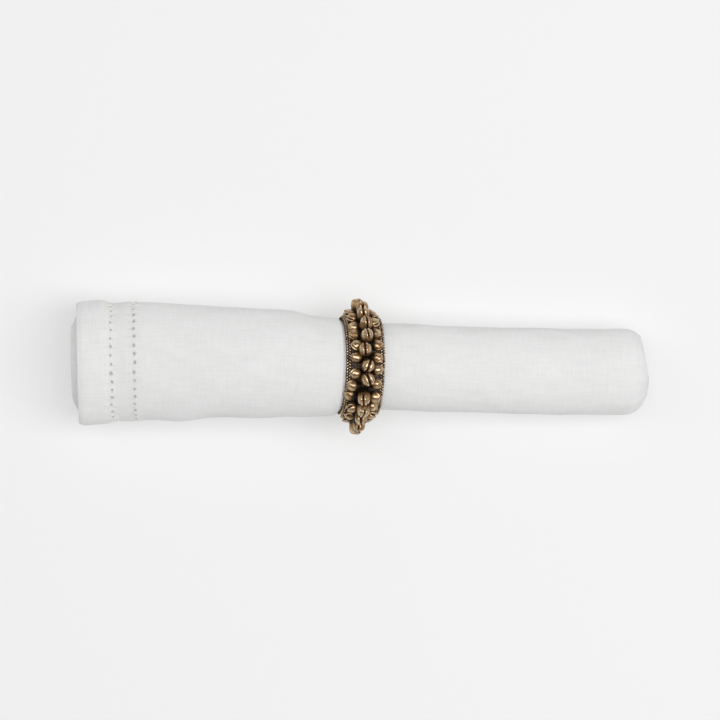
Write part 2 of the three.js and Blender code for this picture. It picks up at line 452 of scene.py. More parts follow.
class PlainWeave(ShaderGroup):
    """Threads that pass over and under each other, with slubs where a thread is thicker."""

    name = "plain_weave"
    sockets = GroupSockets(("Place",), (("Pitch", 0.42), ("Slubs", 0.5)), ("Height", "Tone"))
    slub_along = 0.10
    slub_across = 1.3

    def build(self, graph: Graph, entry: bpy.types.Node) -> dict[str, bpy.types.NodeSocket]:
        """Each thread's height is a half sine across it; the squares take warp and weft in turn.

        The weave is half the upper thread's height and half the product of both threads'. Noise
        that is drawn out along the threads makes the slubs.

        Args:
            graph: the group's own graph.
            entry: the node that gives Place, Pitch and Slubs.

        Returns:
            The weave's height, and a tone that follows the slubs.
        """
        place, pitch, slubs = (entry.outputs[label] for label in ("Place", "Pitch", "Slubs"))
        split = graph.node("ShaderNodeSeparateXYZ", {"Vector": place})
        across = [graph.maths("DIVIDE", split.outputs[k], pitch) for k in (0, 1)]
        threads = [
            graph.maths("ABSOLUTE", graph.maths("SINE", graph.maths("MULTIPLY", part, math.pi)))
            for part in across
        ]
        cells = [graph.maths("FLOOR", part) for part in across]
        turn = graph.maths("PINGPONG", graph.maths("ADD", *cells), 1.0)
        over = graph.between(turn, threads[0], threads[1])
        crossed = graph.maths("MULTIPLY", threads[0], threads[1])
        weave = graph.maths("ADD", graph.maths("MULTIPLY", over, 0.5), graph.maths("MULTIPLY", crossed, 0.5))
        along_warp = graph.noise(graph.stretched(place, (self.slub_along, self.slub_across, 1.0)), 1.0)
        along_weft = graph.noise(graph.stretched(place, (self.slub_across, self.slub_along, 1.0)), 1.0)
        thick = graph.maths("MULTIPLY", graph.maths("ADD", along_warp, along_weft), 0.5)
        height = graph.maths("MULTIPLY_ADD", thick, slubs, weave)
        return {"Height": height, "Tone": thick}


class Patina(ShaderGroup):
    """Where old brass is dark: tarnish and painted shade in its recesses, and tarnish in patches between
    them.
    """

    name = "patina"
    sockets = GroupSockets(
        ("Place",),
        (("Recess", 0.0), ("Tone", 0.5), ("Patches", 260.0), ("Amount", 0.5)),
        ("Dark", "Grain"),
    )
    patch_from = 0.68
    patch_edge = 6.0
    tone_share = 0.3
    grain_scale = 2600.0
    grain_share = 0.08

    def build(self, graph: Graph, entry: bpy.types.Node) -> dict[str, bpy.types.NodeSocket]:
        """Dark is the recess value, which carries painted shade and tarnish, plus patches of tarnish from
        noise that each copy's own tone widens, from 0 to 1.

        Args:
            graph: the group's own graph.
            entry: the node that gives Place, Recess, Tone, Patches and Amount.

        Returns:
            The share of dark, and the fine grain.
        """
        place, recess, tone, patches, amount = (
            entry.outputs[label] for label in ("Place", "Recess", "Tone", "Patches", "Amount")
        )
        wide = graph.noise(place, patches, 3.0)
        fine = graph.noise(place, self.grain_scale)
        past = graph.maths("SUBTRACT", wide, self.patch_from)
        spread = graph.maths("MULTIPLY_ADD", tone, self.tone_share, past)
        patchy = graph.maths("MULTIPLY", graph.maths("MULTIPLY", spread, self.patch_edge, clamp=True), amount)
        grained = graph.maths("MULTIPLY_ADD", fine, self.grain_share, patchy)
        dark = graph.maths("ADD", recess, grained, clamp=True)
        return {"Dark": dark, "Grain": fine}


@dataclass(frozen=True)
class Finish:
    """What every finish has: its name, the record's slot, and a way to be made a material."""

    name: str
    slot: str

    def material(self) -> bpy.types.Material:
        """The finish as a Blender material, made once.

        Returns:
            The material.
        """
        found = bpy.data.materials.get(self.name)
        if found:
            return found
        made = bpy.data.materials.new(self.name)
        made.use_nodes = True
        made.node_tree.nodes.clear()
        graph = Graph(made.node_tree)
        shader = self.shader(graph)
        graph.node("ShaderNodeOutputMaterial", {"Surface": shader.outputs[0]})
        return made

    def shader(self, graph: Graph) -> bpy.types.Node:
        """Builds the finish's nodes.

        Args:
            graph: the material's graph.

        Returns:
            The shader that ends them.
        """
        raise NotImplementedError

    def dress(self, piece: bpy.types.Object) -> None:
        """Gives the finish to a piece.

        Args:
            piece: the piece to dress.
        """
        piece.data.materials.append(self.material())


@dataclass(frozen=True)
class WovenCotton(Finish):
    """Plain woven white cotton: fine threads with slubs, a matt nap, and holes whose walls and floors are
    painted dark as shade.
    """

    thread_pitch: float = 0.40
    slubs: float = 1.1
    light: Colour = (0.885, 0.885, 0.88)
    shade: Colour = (0.765, 0.765, 0.76)
    # painted shade: the colour that the hole walls and floors are darkened towards
    hole: Colour = (0.54, 0.54, 0.52)
    contrast: float = 2.0
    weave_share: float = 0.75
    weave_depth: float = 0.12
    mottle_scale: Triple = (0.07, 0.16, 1.0)
    mottle_depth: float = 0.55

    def shader(self, graph: Graph) -> bpy.types.Node:
        """Builds the cotton on the cloth's own map, whose unit is a millimetre.

        Args:
            graph: the material's graph.

        Returns:
            The shader.
        """
        place = graph.node("ShaderNodeUVMap", {}, uv_map=CLOTH_UV).outputs[0]
        weave = PlainWeave().place(graph, {"Place": place, "Pitch": self.thread_pitch, "Slubs": self.slubs})
        mottle = graph.noise(graph.stretched(place, self.mottle_scale), 1.0, 3.0)
        mottled = graph.maths("MULTIPLY", mottle, 1 - self.weave_share)
        tone = graph.maths("MULTIPLY_ADD", weave.outputs["Tone"], self.weave_share, mottled)
        share = graph.maths("MULTIPLY_ADD", tone, self.contrast, (1 - self.contrast) / 2, clamp=True)
        cloth = graph.mixed(share, self.shade, self.light)
        # painted shade: the recess value darkens the holes' walls and floors towards the hole colour
        colour = graph.mixed(graph.attribute(RECESS), cloth, self.hole)
        soft = graph.bump(mottle, 0.5, self.mottle_depth, None)
        normal = graph.bump(weave.outputs["Height"], 0.6, self.weave_depth, soft)
        inputs = {
            "Base Color": colour,
            "Roughness": 0.9,
            "Sheen Weight": 0.12,
            "Sheen Roughness": 0.5,
            "Specular IOR Level": 0.25,
            "Normal": normal,
        }
        return graph.node("ShaderNodeBsdfPrincipled", inputs)


@dataclass(frozen=True)
class CottonThread(Finish):
    """Spun sewing cotton, a little brighter than the cloth."""

    colour: Colour = (0.94, 0.93, 0.895)
    shade: Colour = (0.74, 0.73, 0.685)
    fibre_scale: float = 3500.0

    def shader(self, graph: Graph) -> bpy.types.Node:
        """Builds the thread on its place, with fibres as fine noise.

        Args:
            graph: the material's graph.

        Returns:
            The shader.
        """
        place = graph.node("ShaderNodeTexCoord", {}).outputs["Object"]
        fibres = graph.noise(place, self.fibre_scale, 1.0)
        inputs = {
            "Base Color": graph.mixed(fibres, self.shade, self.colour),
            "Roughness": 0.8,
            "Sheen Weight": 0.1,
            "Normal": graph.bump(fibres, 0.5, 0.05, None),
        }
        return graph.node("ShaderNodeBsdfPrincipled", inputs)


@dataclass(frozen=True)
class AntiqueBrass(Finish):
    """Old brass, bright on the high spots, with tarnish and painted shade in its hollows and lower parts."""

    bright: Colour = (0.66, 0.52, 0.35)
    tarnish: Colour = (0.31, 0.17, 0.068)
    dark: Colour = (0.018, 0.010, 0.005)
    tarnish_gain: float = 2.2
    dark_gain: float = 1.8
    amount: float = 0.4
    patches: float = 420.0
    smooth_roughness: float = 0.15
    dark_roughness: float = 0.45
    dark_metallic: float = 0.4
    dents: float = 380.0
    dent_depth: float = 0.07
    grain_depth: float = 0.03

    def shader(self, graph: Graph) -> bpy.types.Node:
        """Builds the brass: the share of tarnish and painted shade takes it from bright to tarnished to
        black.

        Args:
            graph: the material's graph.

        Returns:
            The shader.
        """
        place = graph.node("ShaderNodeTexCoord", {}).outputs["Object"]
        patina = Patina().place(
            graph,
            {
                "Place": place,
                "Recess": graph.attribute(RECESS),
                "Tone": graph.attribute(TONE),
                "Patches": self.patches,
                "Amount": self.amount,
            },
        )
        dark, grain = patina.outputs["Dark"], patina.outputs["Grain"]
        dented = graph.bump(graph.noise(place, self.dents, 1.0), 0.5, self.dent_depth, None)
        # painted shade: dark carries the shade painted into recesses as well as tarnish, and takes the colour
        # towards tarnish and black
        dull = graph.maths("MULTIPLY", dark, self.tarnish_gain, clamp=True)
        black = graph.maths("MULTIPLY_ADD", dark, self.dark_gain, 1 - self.dark_gain, clamp=True)
        inputs = {
            "Base Color": graph.mixed(black, graph.mixed(dull, self.bright, self.tarnish), self.dark),
            "Roughness": graph.between(dark, self.smooth_roughness, self.dark_roughness),
            "Metallic": graph.between(dark, 1.0, self.dark_metallic),
            "Normal": graph.bump(grain, 0.1, self.grain_depth, dented),
        }
        return graph.node("ShaderNodeBsdfPrincipled", inputs)


@dataclass(frozen=True)
class DarkWeave(Finish):
    """A dark woven band whose raised threads are wrapped with dull metal, and whose gaps are painted darker
    as shade.
    """

    # painted shade: the near black of the weave's gaps and of the band's inner face
    gap: Colour = (0.012, 0.007, 0.004)
    thread: Colour = (0.12, 0.085, 0.052)
    fibre_scale: float = 2800.0

    def shader(self, graph: Graph) -> bpy.types.Node:
        """Builds the band: its recess value runs from the thread tops to the gaps.

        Args:
            graph: the material's graph.

        Returns:
            Builds the band: its recess value runs from the thread tops to the gaps, which are painted darker
                as shade.
        """
        place = graph.node("ShaderNodeTexCoord", {}).outputs["Object"]
        fibres = graph.noise(place, self.fibre_scale)
        low = graph.attribute(RECESS)
        worn = graph.maths("MULTIPLY", graph.maths("SUBTRACT", 1.0, low), fibres)
        inputs = {
            # painted shade: the gaps take the darker gap colour
            "Base Color": graph.mixed(low, self.thread, self.gap),
            "Roughness": graph.between(low, 0.5, 0.85),
            "Metallic": worn,
            "Normal": graph.bump(fibres, 0.4, 0.05, None),
        }
        return graph.node("ShaderNodeBsdfPrincipled", inputs)


@dataclass(frozen=True)
class PaleGround(Finish):
    """A plain pale surface under the napkin, lit a little from within like a light table."""

    colour: Colour = (0.48, 0.48, 0.48)
    glow: float = 0.415

    def shader(self, graph: Graph) -> bpy.types.Node:
        """Builds a matt ground with an even glow.

        Args:
            graph: the material's graph.

        Returns:
            The shader.
        """
        inputs = {
            "Base Color": self.colour,
            "Roughness": 0.9,
            "Specular IOR Level": 0.0,
            "Emission Color": (1.0, 1.0, 1.0),
            "Emission Strength": self.glow,
        }
        return graph.node("ShaderNodeBsdfPrincipled", inputs)


COTTON = WovenCotton("white_cotton", "cotton")
SEWING_THREAD = CottonThread("hemstitch_cotton", "cotton")
BELL_BRASS = AntiqueBrass("antique_bell_brass", "bell_brass")
BEAD_BRASS = AntiqueBrass(
    "seed_bead_brass",
    "rim_beads",
    bright=(0.84, 0.70, 0.52),
    amount=0.6,
    patches=700.0,
    smooth_roughness=0.18,
)
BAND_WEAVE = DarkWeave("band_weave", "dark_weave")
GROUND = PaleGround("pale_ground", "")


class Ply(Enum):
    """The two halves of the folded napkin."""

    OUTER = 0
    INNER = 1


@dataclass(frozen=True)
class Section:
    """A cross section of the roll: where along it, its half sizes, and its centre."""

    x: float
    half_width: float
    half_height: float
    y: float
    z: float


SECTIONS = (
    Section(-125.5, 27.7, 21.9, 1.0, 21.2),
    Section(-116.0, 27.8, 22.0, 1.5, 21.2),
    Section(-109.0, 26.3, 21.6, 1.4, 20.9),
    Section(-104.5, 26.7, 21.8, 1.9, 21.5),
    Section(-95.0, 26.4, 21.9, 2.1, 22.6),
    Section(-79.0, 26.1, 22.1, 1.4, 24.1),
    Section(-66.0, 25.0, 22.3, 1.7, 25.6),
    Section(-48.0, 24.5, 22.4, 1.2, 27.6),
    Section(-31.0, 23.7, 22.4, 0.9, 29.6),
    Section(-24.5, 22.9, 22.0, 0.0, 30.5),
    Section(-14.0, 21.9, 21.5, -0.5, 31.6),
    Section(-10.4, 21.3, 21.0, -0.2, 31.3),
    Section(-9.7, 19.3, 19.1, 0.2, 31.2),
    Section(8.4, 19.3, 19.1, -0.2, 28.55),
    Section(22.0, 19.4, 19.2, -0.7, 26.8),
    Section(44.0, 19.1, 19.0, -1.6, 24.1),
    Section(76.0, 19.25, 18.9, -2.3, 20.6),
    Section(100.0, 19.2, 18.8, -2.75, 18.0),
    Section(112.0, 19.25, 18.8, -2.6, 18.0),
    Section(117.0, 19.25, 18.8, -2.6, 18.0),
    Section(119.5, 19.25, 18.8, -2.6, 18.0),
    Section(121.0, 19.25, 18.8, -2.6, 18.0),
)


@dataclass(frozen=True)
class EdgePlace:
    """How far the open edges of both plies stand out at one turn from the outside."""

    turn: float
    outer: float
    inner: float


OPEN_EDGE = (
    EdgePlace(0.0, 0.0, -0.5),
    EdgePlace(0.9, 0.0, -0.4),
    EdgePlace(1.34, 0.2, 0.3),
    EdgePlace(1.45, 1.3, 2.6),
    EdgePlace(1.66, 1.5, 2.9),
    EdgePlace(1.87, 1.4, 2.7),
    EdgePlace(1.98, 0.2, 0.3),
    EdgePlace(2.3, 1.2, 2.0),
    EdgePlace(2.75, 0.9, 1.5),
    EdgePlace(3.4, 1.7, 2.3),
    EdgePlace(4.4, 2.2, 2.5),
    EdgePlace(6.0, 1.4, 2.0),
)


@dataclass(frozen=True)
class Crease:
    """A soft ridge, or a trough where its height is negative, placed on the flat strip."""

    x: float
    strip: float
    reach_x: float
    reach_strip: float
    slant: float
    height: float


CREASES = (
    Crease(-18.0, 62.0, 8.0, 4.0, 0.5, -0.35),
    Crease(-27.0, 66.0, 6.0, 5.0, 0.4, 0.3),
    Crease(-82.0, 116.0, 12.0, 6.0, 0.05, 0.35),
    Crease(-60.0, 118.0, 9.0, 5.0, -0.1, -0.2),
    Crease(-38.0, 99.0, 20.0, 2.6, 0.04, -0.14),
    Crease(-52.0, 74.0, 26.0, 4.0, -0.03, 0.12),
    Crease(34.0, 98.0, 24.0, 2.2, 0.02, -0.16),
    Crease(62.0, 101.0, 22.0, 2.4, -0.03, 0.12),
    Crease(76.0, 76.0, 30.0, 3.6, 0.03, -0.12),
    Crease(104.0, 92.0, 14.0, 3.0, 0.12, 0.10),
    Crease(-90.0, 92.0, 12.0, 5.0, 0.2, 0.12),
)


@dataclass(frozen=True)
class Ripple:
    """One wave of the cloth's slight unevenness: its lengths along and round the roll, and height."""

    along: float
    around: float
    phase: float
    height: float


RIPPLES = (
    Ripple(41.0, 23.0, 0.4, 0.07),
    Ripple(-27.0, 17.0, 1.9, 0.05),
    Ripple(19.0, -31.0, 3.3, 0.045),
    Ripple(63.0, 11.0, 5.1, 0.035),
    Ripple(14.0, 26.0, 2.2, 0.025),
)


@dataclass(frozen=True)
class RollShape:
    """How the folded strip is wound: the shape on which every part of the cloth lies."""

    # the flat square's side, and how it is wound
    side: float = 508.0
    seam: float = math.radians(-112)
    turns_open_end: float = 5.15
    turns_folded_end: float = 5.9
    tight_from: float = 60.0
    # the shares of a turn in which it sinks under the one before
    sink_before: float = 0.25
    sink_after: float = 0.15
    # how much of the outline's oval the inner turns keep
    round_after: float = 0.75
    round_by: float = 1.25
    outline: float = 0.55
    outline_core: float = 0.15
    # the open end: its edges' shift and slant, the inner turns' droop, and the easing of all edges
    edge_shift_length: float = 10.0
    open_slant: float = 0.021
    slant_kept: float = 28.0
    slant_fade: float = 50.0
    droop: float = 2.2
    droop_length: float = 6.0
    droop_from: float = 1.15
    droop_ramp: float = 0.2
    edge_ease: float = 0.75
    edge_ease_length: float = 2.6
    full_ease_radius: float = 12.0
    # the folded end: its dome, how far it reaches, and its slant
    dome_from: float = 116.2
    dome_length: float = 12.6
    dome_power: float = 2.5
    reach: float = 127.45
    outer_short: float = 1.5
    short_power: float = 4.0
    fold_slant: float = 0.08
    fold_shift_length: float = 16.0
    # the sections' lean with the ring, full near it and none far away
    lean: float = math.radians(8.4)
    turn_on_table: float = math.radians(1.3)
    lean_full: float = 16.0
    lean_none: float = 70.0

    @property
    def first(self) -> float:
        """Where the first section lies."""
        return SECTIONS[0].x

    @property
    def last(self) -> float:
        """Where the last section lies."""
        return SECTIONS[-1].x

    def column(self, name: str, x: np.ndarray) -> np.ndarray:
        """One size of the sections, eased between them."""
        knots = np.array([row.x for row in SECTIONS])
        return eased(x, knots, np.array([getattr(row, name) for row in SECTIONS]))

    def depth_in_pitches(self, turn: np.ndarray) -> np.ndarray:
        """The depth of a turn under the outer one: level, then one pitch down at each seam.

        Args:
            turn: turns from the free edge, inwards.

        Returns:
            The depth, in pitches.
        """
        seams = np.floor(turn + self.sink_before)
        sunk = smooth((turn + self.sink_before - seams) / (self.sink_before + self.sink_after))
        return np.maximum(0.0, seams - 1 + sunk)

    def depth_sum(self, turns: np.ndarray) -> np.ndarray:
        """The area under depth_in_pitches from 0 to a number of turns, each step added in full.

        Args:
            turns: how many turns.

        Returns:
            The area, in pitches times turns.
        """
        width = self.sink_before + self.sink_after
        whole = np.floor(turns + self.sink_before)
        rest = turns + self.sink_before - whole
        part = np.clip(rest / width, 0.0, 1.0)
        step = width * (part**3 - part**4 / 2) + np.maximum(0.0, rest - width)
        return whole * (whole - 1) / 2 - (whole - 1) * width / 2 + (whole - 1) * rest + step

    def turns_at(self, x: np.ndarray) -> np.ndarray:
        """How many turns the roll has at a place along it."""
        share = smooth((x - self.first) / (self.tight_from - self.first))
        return self.turns_open_end + (self.turns_folded_end - self.turns_open_end) * share

    def outline_kept(self, turn: np.ndarray) -> np.ndarray:
        """How much of the outline's departure from a circle a turn keeps.

        Args:
            turn: turns from the free edge, inwards.

        Returns:
            1 on the outer turn, less on the second, and least in the core.
        """
        passed = smooth((turn - self.round_after) / (self.round_by - self.round_after))
        second = 1 + (self.outline - 1) * passed
        core = smooth((turn - self.round_by) / (self.turns_folded_end - self.round_by))
        return second + (self.outline_core - second) * core

    def dome_share(self, x: np.ndarray) -> np.ndarray:
        """The share of its radius that a turn keeps near the folded end, a quarter of a squarish oval."""
        along = np.clip((x - self.dome_from) / self.dome_length, 0.0, 0.999)
        return (1 - along**self.dome_power) ** (1 / self.dome_power)

    def fold_out(self, x: np.ndarray, rolled: np.ndarray, angle: np.ndarray, share: np.ndarray) -> np.ndarray:
        """How far the folded end stands out past the last section.

        Inner turns reach further than the outer one, by a power of their share of the radius, and
        the end recedes towards +Y.

        Args:
            x: the place along the roll.
            rolled: the turn's radius.
            angle: the angle round the roll.
            share: the turn's share of the outer radius.

        Returns:
            The shift along the roll, which fades out away from the end.
        """
        fold_x = self.reach - self.outer_short * share**self.short_power
        fold_x = fold_x - self.fold_slant * rolled * np.cos(angle)
        return (fold_x - self.last) * (1 - smooth((self.last - x) / self.fold_shift_length))

    def drawn_in(
        self, from_open: np.ndarray, rolled: np.ndarray, angle: np.ndarray, wound: np.ndarray
    ) -> np.ndarray:
        """How far the cloth draws in at the open end.

        Both parts fade as a square along the roll: all edges ease in a little, and inner turns
        droop where they lie over the core.

        Args:
            from_open: the distance from the open end.
            rolled: the turn's radius.
            angle: the angle round the roll.
            wound: turns from the free edge, inwards.

        Returns:
            The loss of radius, less on turns that are already small.
        """
        hanging = smooth((wound - self.droop_from) / self.droop_ramp) * np.clip(np.sin(angle), 0.0, 1.0)
        drooping = self.droop * hanging * np.clip(1 - from_open / self.droop_length, 0.0, 1.0) ** 2
        easing = self.edge_ease * np.clip(1 - from_open / self.edge_ease_length, 0.0, 1.0) ** 2
        return (drooping + easing) * smooth(rolled / self.full_ease_radius)

    def place(
        self,
        x: np.ndarray,
        turn: np.ndarray,
        below: np.ndarray | float,
        edge_out: np.ndarray | float = 0.0,
        bulge: np.ndarray | float = 0.0,
    ) -> np.ndarray:
        """Where a point of the flat strip lies on the roll.

        The turn gives an angle and a depth. The radius is the section's outline at that angle,
        less the depth and what lies below the outer face. It closes in at the folded end's dome,
        and draws in a little at the open end. The sections lean with the ring near it. The open
        edges and folds of inner turns stand out along the roll.

        Args:
            x: the place along the roll, before any shift.
            turn: turns from the free edge, inwards.
            below: how far under the outer face.
            edge_out: how far the open edge stands out at this turn.
            bulge: how much further along the roll, as on a rounded edge.

        Returns:
            The points, with one more axis of three.
        """
        x, turn = np.broadcast_arrays(np.asarray(x, float), np.asarray(turn, float))
        width, height = self.column("half_width", x), self.column("half_height", x)
        centre_y, centre_z = self.column("y", x), self.column("z", x)
        turns = self.turns_at(x)
        inner = 1 + (turn - 1) * (turns - 1) / (self.turns_folded_end - 1)
        wound = np.where(turn <= 1, turn, inner)
        mean = (width + height) / 2
        pitch = (turns * mean - self.side / FULL_TURN) / self.depth_sum(turns)
        angle = self.seam + FULL_TURN * wound
        depth = pitch * self.depth_in_pitches(wound)
        oval = 1 / np.hypot(np.cos(angle) / width, np.sin(angle) / height)
        to_table = centre_z / np.maximum(-np.sin(angle), 1e-6)
        departure = (np.minimum(oval, to_table) - mean) * self.outline_kept(wound)
        rolled = mean + departure - depth

        from_open = x - self.first
        fold_out = self.fold_out(x, rolled, angle, 1 - depth / mean)
        drawn = self.drawn_in(from_open, rolled, angle, wound)
        radius = rolled * self.dome_share(x + fold_out) - below - drawn
        y = radius * np.cos(angle)
        z = np.maximum(radius * np.sin(angle), -centre_z)

        leaning = 1 - smooth((np.abs(x) - self.lean_full) / (self.lean_none - self.lean_full))
        lean = leaning * (z * math.tan(self.lean) + y * math.tan(self.turn_on_table))
        out = edge_out * (1 - smooth(from_open / self.edge_shift_length))
        out = out + self.open_slant * y * (1 - smooth((from_open - self.slant_kept) / self.slant_fade))
        return np.stack([x + lean - out + fold_out + bulge, centre_y + y, centre_z + z], axis=-1)


@dataclass(frozen=True)
class Stretch:
    """A stretch of the roll and how many steps of cloth lie in it."""

    to: float
    steps: int


@dataclass(frozen=True)
class SeamRun:
    """A run of holes along the seam, at every second line of the cloth from first to before past."""

    start: float
    first: int
    past: int


@dataclass(frozen=True)
class Hemstitch:
    """The drawn rows beside each hem: where they lie, their holes, and the threads that hold them."""

    # how far each row lies from the open edge, and from the free edge
    row_one: float = 14.8
    row_two: float = 24.9
    seam_row_one: float = 15.0
    seam_row_two: float = 25.0
    row_margin: float = 0.9
    # the runs of holes along the seam, and the line of the strip where the open rows end
    seam_runs: tuple[SeamRun, ...] = (SeamRun(-99.7, 1, 42), SeamRun(9.0, 3, 50))
    strip_end: int = 148
    # the holes: half sizes, depth, lip, and how uneven they are
    pitch: float = 4.0
    hole_across: float = 0.66
    hole_along: float = 0.86
    hole_depth: float = 0.42
    lip: float = 1.35
    lip_height: float = 0.12
    wander: float = 0.19
    size_spread: float = 0.26
    # how far the cloth dips and puckers along a row
    dip: float = 0.16
    dip_reach: float = 1.5
    pucker: float = 0.08
    pucker_reach: float = 3.2
    # the threads: stitches from hole to cloth, and wraps round the bar between two holes
    stitch_from: float = 0.75
    stitch_to: float = 2.9
    stitch_slant: float = 0.35
    slant_spread: float = 0.15
    wrap_half: float = 0.95
    wrap_offset: float = 0.5
    thread: float = 0.17
    bedded: float = 0.3
    arch: float = 0.2
    thread_sides: int = 6
    thread_steps: int = 5


@dataclass(frozen=True)
class HemWave:
    """The slow wave of the open edge, which dies away along the roll."""

    height: float = 0.22
    length: float = 37.0
    phase: float = 0.7
    fade: float = 9.0


@dataclass
class RolledNapkin:
    """The napkin: two plies joined at the fold, hemmed at their open edges, wound into the roll."""

    shape: RollShape = field(default_factory=RollShape)
    stitch: Hemstitch = field(default_factory=Hemstitch)
    wave: HemWave = field(default_factory=HemWave)
    ply: float = 0.5
    ply_in_hem: float = 1.05
    seam_hem_extra: float = 0.22
    between: float = 0.1
    between_in_hem: float = 0.8
    hem_ramp: float = 1.4
    stretches: tuple[Stretch, ...] = (
        Stretch(-111.6, 11),
        Stretch(-109.8, 2),
        Stretch(-101.5, 5),
        Stretch(-99.7, 2),
        Stretch(-11.55, 43),
        Stretch(-9.4, 5),
        Stretch(9.0, 8),
        Stretch(111.5, 50),
        Stretch(121.0, 12),
    )
    coarse_every: int = 3
    fold_steps: int = 8
    edge_steps: int = 4
    outer_strip: int = 170
    inner_steps: int = 124
    length_samples: int = 6000
    hem_reference: float = -105.0
    held_half: float = 9.0
    held_ramp: float = 4.0
    relief_strip: float = 150.0
    relief_ramp: float = 25.0

    def __post_init__(self) -> None:
        """Measures the strip along the hem, and lays out the lines of the cloth."""
        turns = np.linspace(0.0, self.shape.turns_folded_end, self.length_samples)
        path = self.shape.place(np.full_like(turns, self.hem_reference), turns, self.ply)
        run = np.concatenate([[0.0], np.cumsum(np.linalg.norm(np.diff(path, axis=0), axis=1))])
        self.turn_table = turns
        self.strip_table = run * self.shape.side / run[-1]
        start, lines = self.shape.first, []
        for stretch in self.stretches:
            lines.append(np.linspace(start, stretch.to, stretch.steps, endpoint=False))
            start = stretch.to
        self.fine = np.concatenate([*lines, [start]])
        self.coarse = self.fine[:: self.coarse_every]

    def turn_at(self, strip: np.ndarray) -> np.ndarray:
        """The turn at a length along the strip from its free edge."""
        return np.interp(strip, self.strip_table, self.turn_table)

    def strip_at(self, turn: np.ndarray) -> np.ndarray:
        """The length along the strip at a turn."""
        return np.interp(turn, self.turn_table, self.strip_table)

    def thickness(self, x: np.ndarray, strip: np.ndarray) -> np.ndarray:
        """The thickness of one ply: more in the hems of the open end and of the two free edges.

        Args:
            x: the place along the roll.
            strip: the length along the strip from its free edge.

        Returns:
            The thickness, which changes by an S-shaped ramp at each hem's inner edge.
        """
        hem_line = self.shape.first + self.stitch.row_one - self.hem_ramp
        open_hem = 1 - smooth((x - hem_line) / self.hem_ramp)
        to_edge = np.minimum(strip, self.shape.side - strip)
        side_hem = 1 - smooth((to_edge - self.stitch.seam_row_one + self.hem_ramp) / self.hem_ramp)
        thick = self.ply + (self.ply_in_hem - self.ply) * open_hem
        return thick + self.seam_hem_extra * side_hem * (1 - open_hem)

    def gap(self, x: np.ndarray) -> np.ndarray:
        """The gap between the two plies, wider at their open edges."""
        open_share = 1 - smooth((x - self.shape.first) / self.stitch.row_one)
        return self.between + (self.between_in_hem - self.between) * open_share

    def relief(self, x: np.ndarray, strip: np.ndarray) -> np.ndarray:
        """How far the cloth stands proud of the plain roll.

        The creases are bell-shaped across and along, the ripples are sines, both hem rows dip a
        little and pucker between their holes, and the open edge waves. All of it fades out in the
        ring and past the outer turn.

        Args:
            x: the place along the roll.
            strip: the length along the strip from its free edge.

        Returns:
            The height over the plain roll.
        """
        total = np.zeros(np.broadcast(x, strip).shape)
        for crease in CREASES:
            along = x - crease.x
            across = strip - crease.strip - crease.slant * along
            bell = np.exp(-((along / crease.reach_x) ** 2) - (across / crease.reach_strip) ** 2)
            total += crease.height * bell
        for ripple in RIPPLES:
            passed = x / ripple.along + strip / ripple.around
            total += ripple.height * np.sin(FULL_TURN * passed + ripple.phase)
        from_edge, stitch, wave = x - self.shape.first, self.stitch, self.wave
        for row in (stitch.row_one, stitch.row_two):
            total -= stitch.dip * np.exp(-(((from_edge - row) / stitch.dip_reach) ** 2))
            pucker = np.cos(FULL_TURN * strip / stitch.pitch)
            total -= stitch.pucker * pucker * np.exp(-(((from_edge - row) / stitch.pucker_reach) ** 2))
        waving = np.sin(FULL_TURN * strip / wave.length + wave.phase)
        total += wave.height * waving * np.exp(-from_edge / wave.fade)
        held = 1 - smooth((np.abs(x) - self.held_half) / self.held_ramp)
        return total * (1 - held) * (1 - smooth((strip - self.relief_strip) / self.relief_ramp))

    def edge_out(self, turn: np.ndarray, ply: Ply) -> np.ndarray:
        """How far a ply's open edge stands out at a turn.

        Args:
            turn: turns from the free edge, inwards.
            ply: which ply.

        Returns:
            The distance, eased between the rows of OPEN_EDGE.
        """
        knots = np.array([row.turn for row in OPEN_EDGE])
        values = np.array([row.outer if ply is Ply.OUTER else row.inner for row in OPEN_EDGE])
        return eased(turn, knots, values)

    def loop(self) -> dict[str, np.ndarray]:
        """One line round both plies, from the outer ply's open edge to the fold and back.

        Returns:
            For each point its place along the roll, its depth as shares of a ply and of the gap
            between the plies, its bulge in the same shares, and which ply's edge it follows.
        """
        fold = np.arange(1, self.fold_steps) / self.fold_steps
        turn_in = np.arange(1, self.edge_steps) / self.edge_steps
        rise, fall = (1 - np.cos(math.pi * fold)) / 2, (1 - np.cos(math.pi * turn_in)) / 2
        out_fold, out_edge = np.sin(math.pi * fold), np.sin(math.pi * turn_in)
        last, first = self.shape.last, self.shape.first
        outer, inner = Ply.OUTER.value, Ply.INNER.value
        parts = [
            # x, plies deep, gaps deep, bulge in plies, bulge in gaps, which ply
            (self.fine, 0.0, 0.0, 0.0, 0.0, outer),
            (np.full_like(fold, last), 2 * rise, rise, out_fold, out_fold / 2, outer),
            (self.coarse[::-1], 2.0, 1.0, 0.0, 0.0, inner),
            (np.full_like(turn_in, first), 2 - fall, 1.0, -out_edge / 2, 0.0, inner),
            (self.coarse, 1.0, 1.0, 0.0, 0.0, inner),
            (np.full_like(turn_in, last), 1.0, 1 - fall, 0.0, out_edge / 2, inner),
            (self.coarse[::-1], 1.0, 0.0, 0.0, 0.0, outer),
            (np.full_like(turn_in, first), 1 - fall, 0.0, -out_edge / 2, 0.0, outer),
        ]
        names = ("x", "plies", "gaps", "bulge_plies", "bulge_gaps", "ply")
        columns = zip(*[[np.broadcast_to(cell, part[0].shape) for cell in part] for part in parts])
        return {name: np.concatenate(cells) for name, cells in zip(names, columns)}

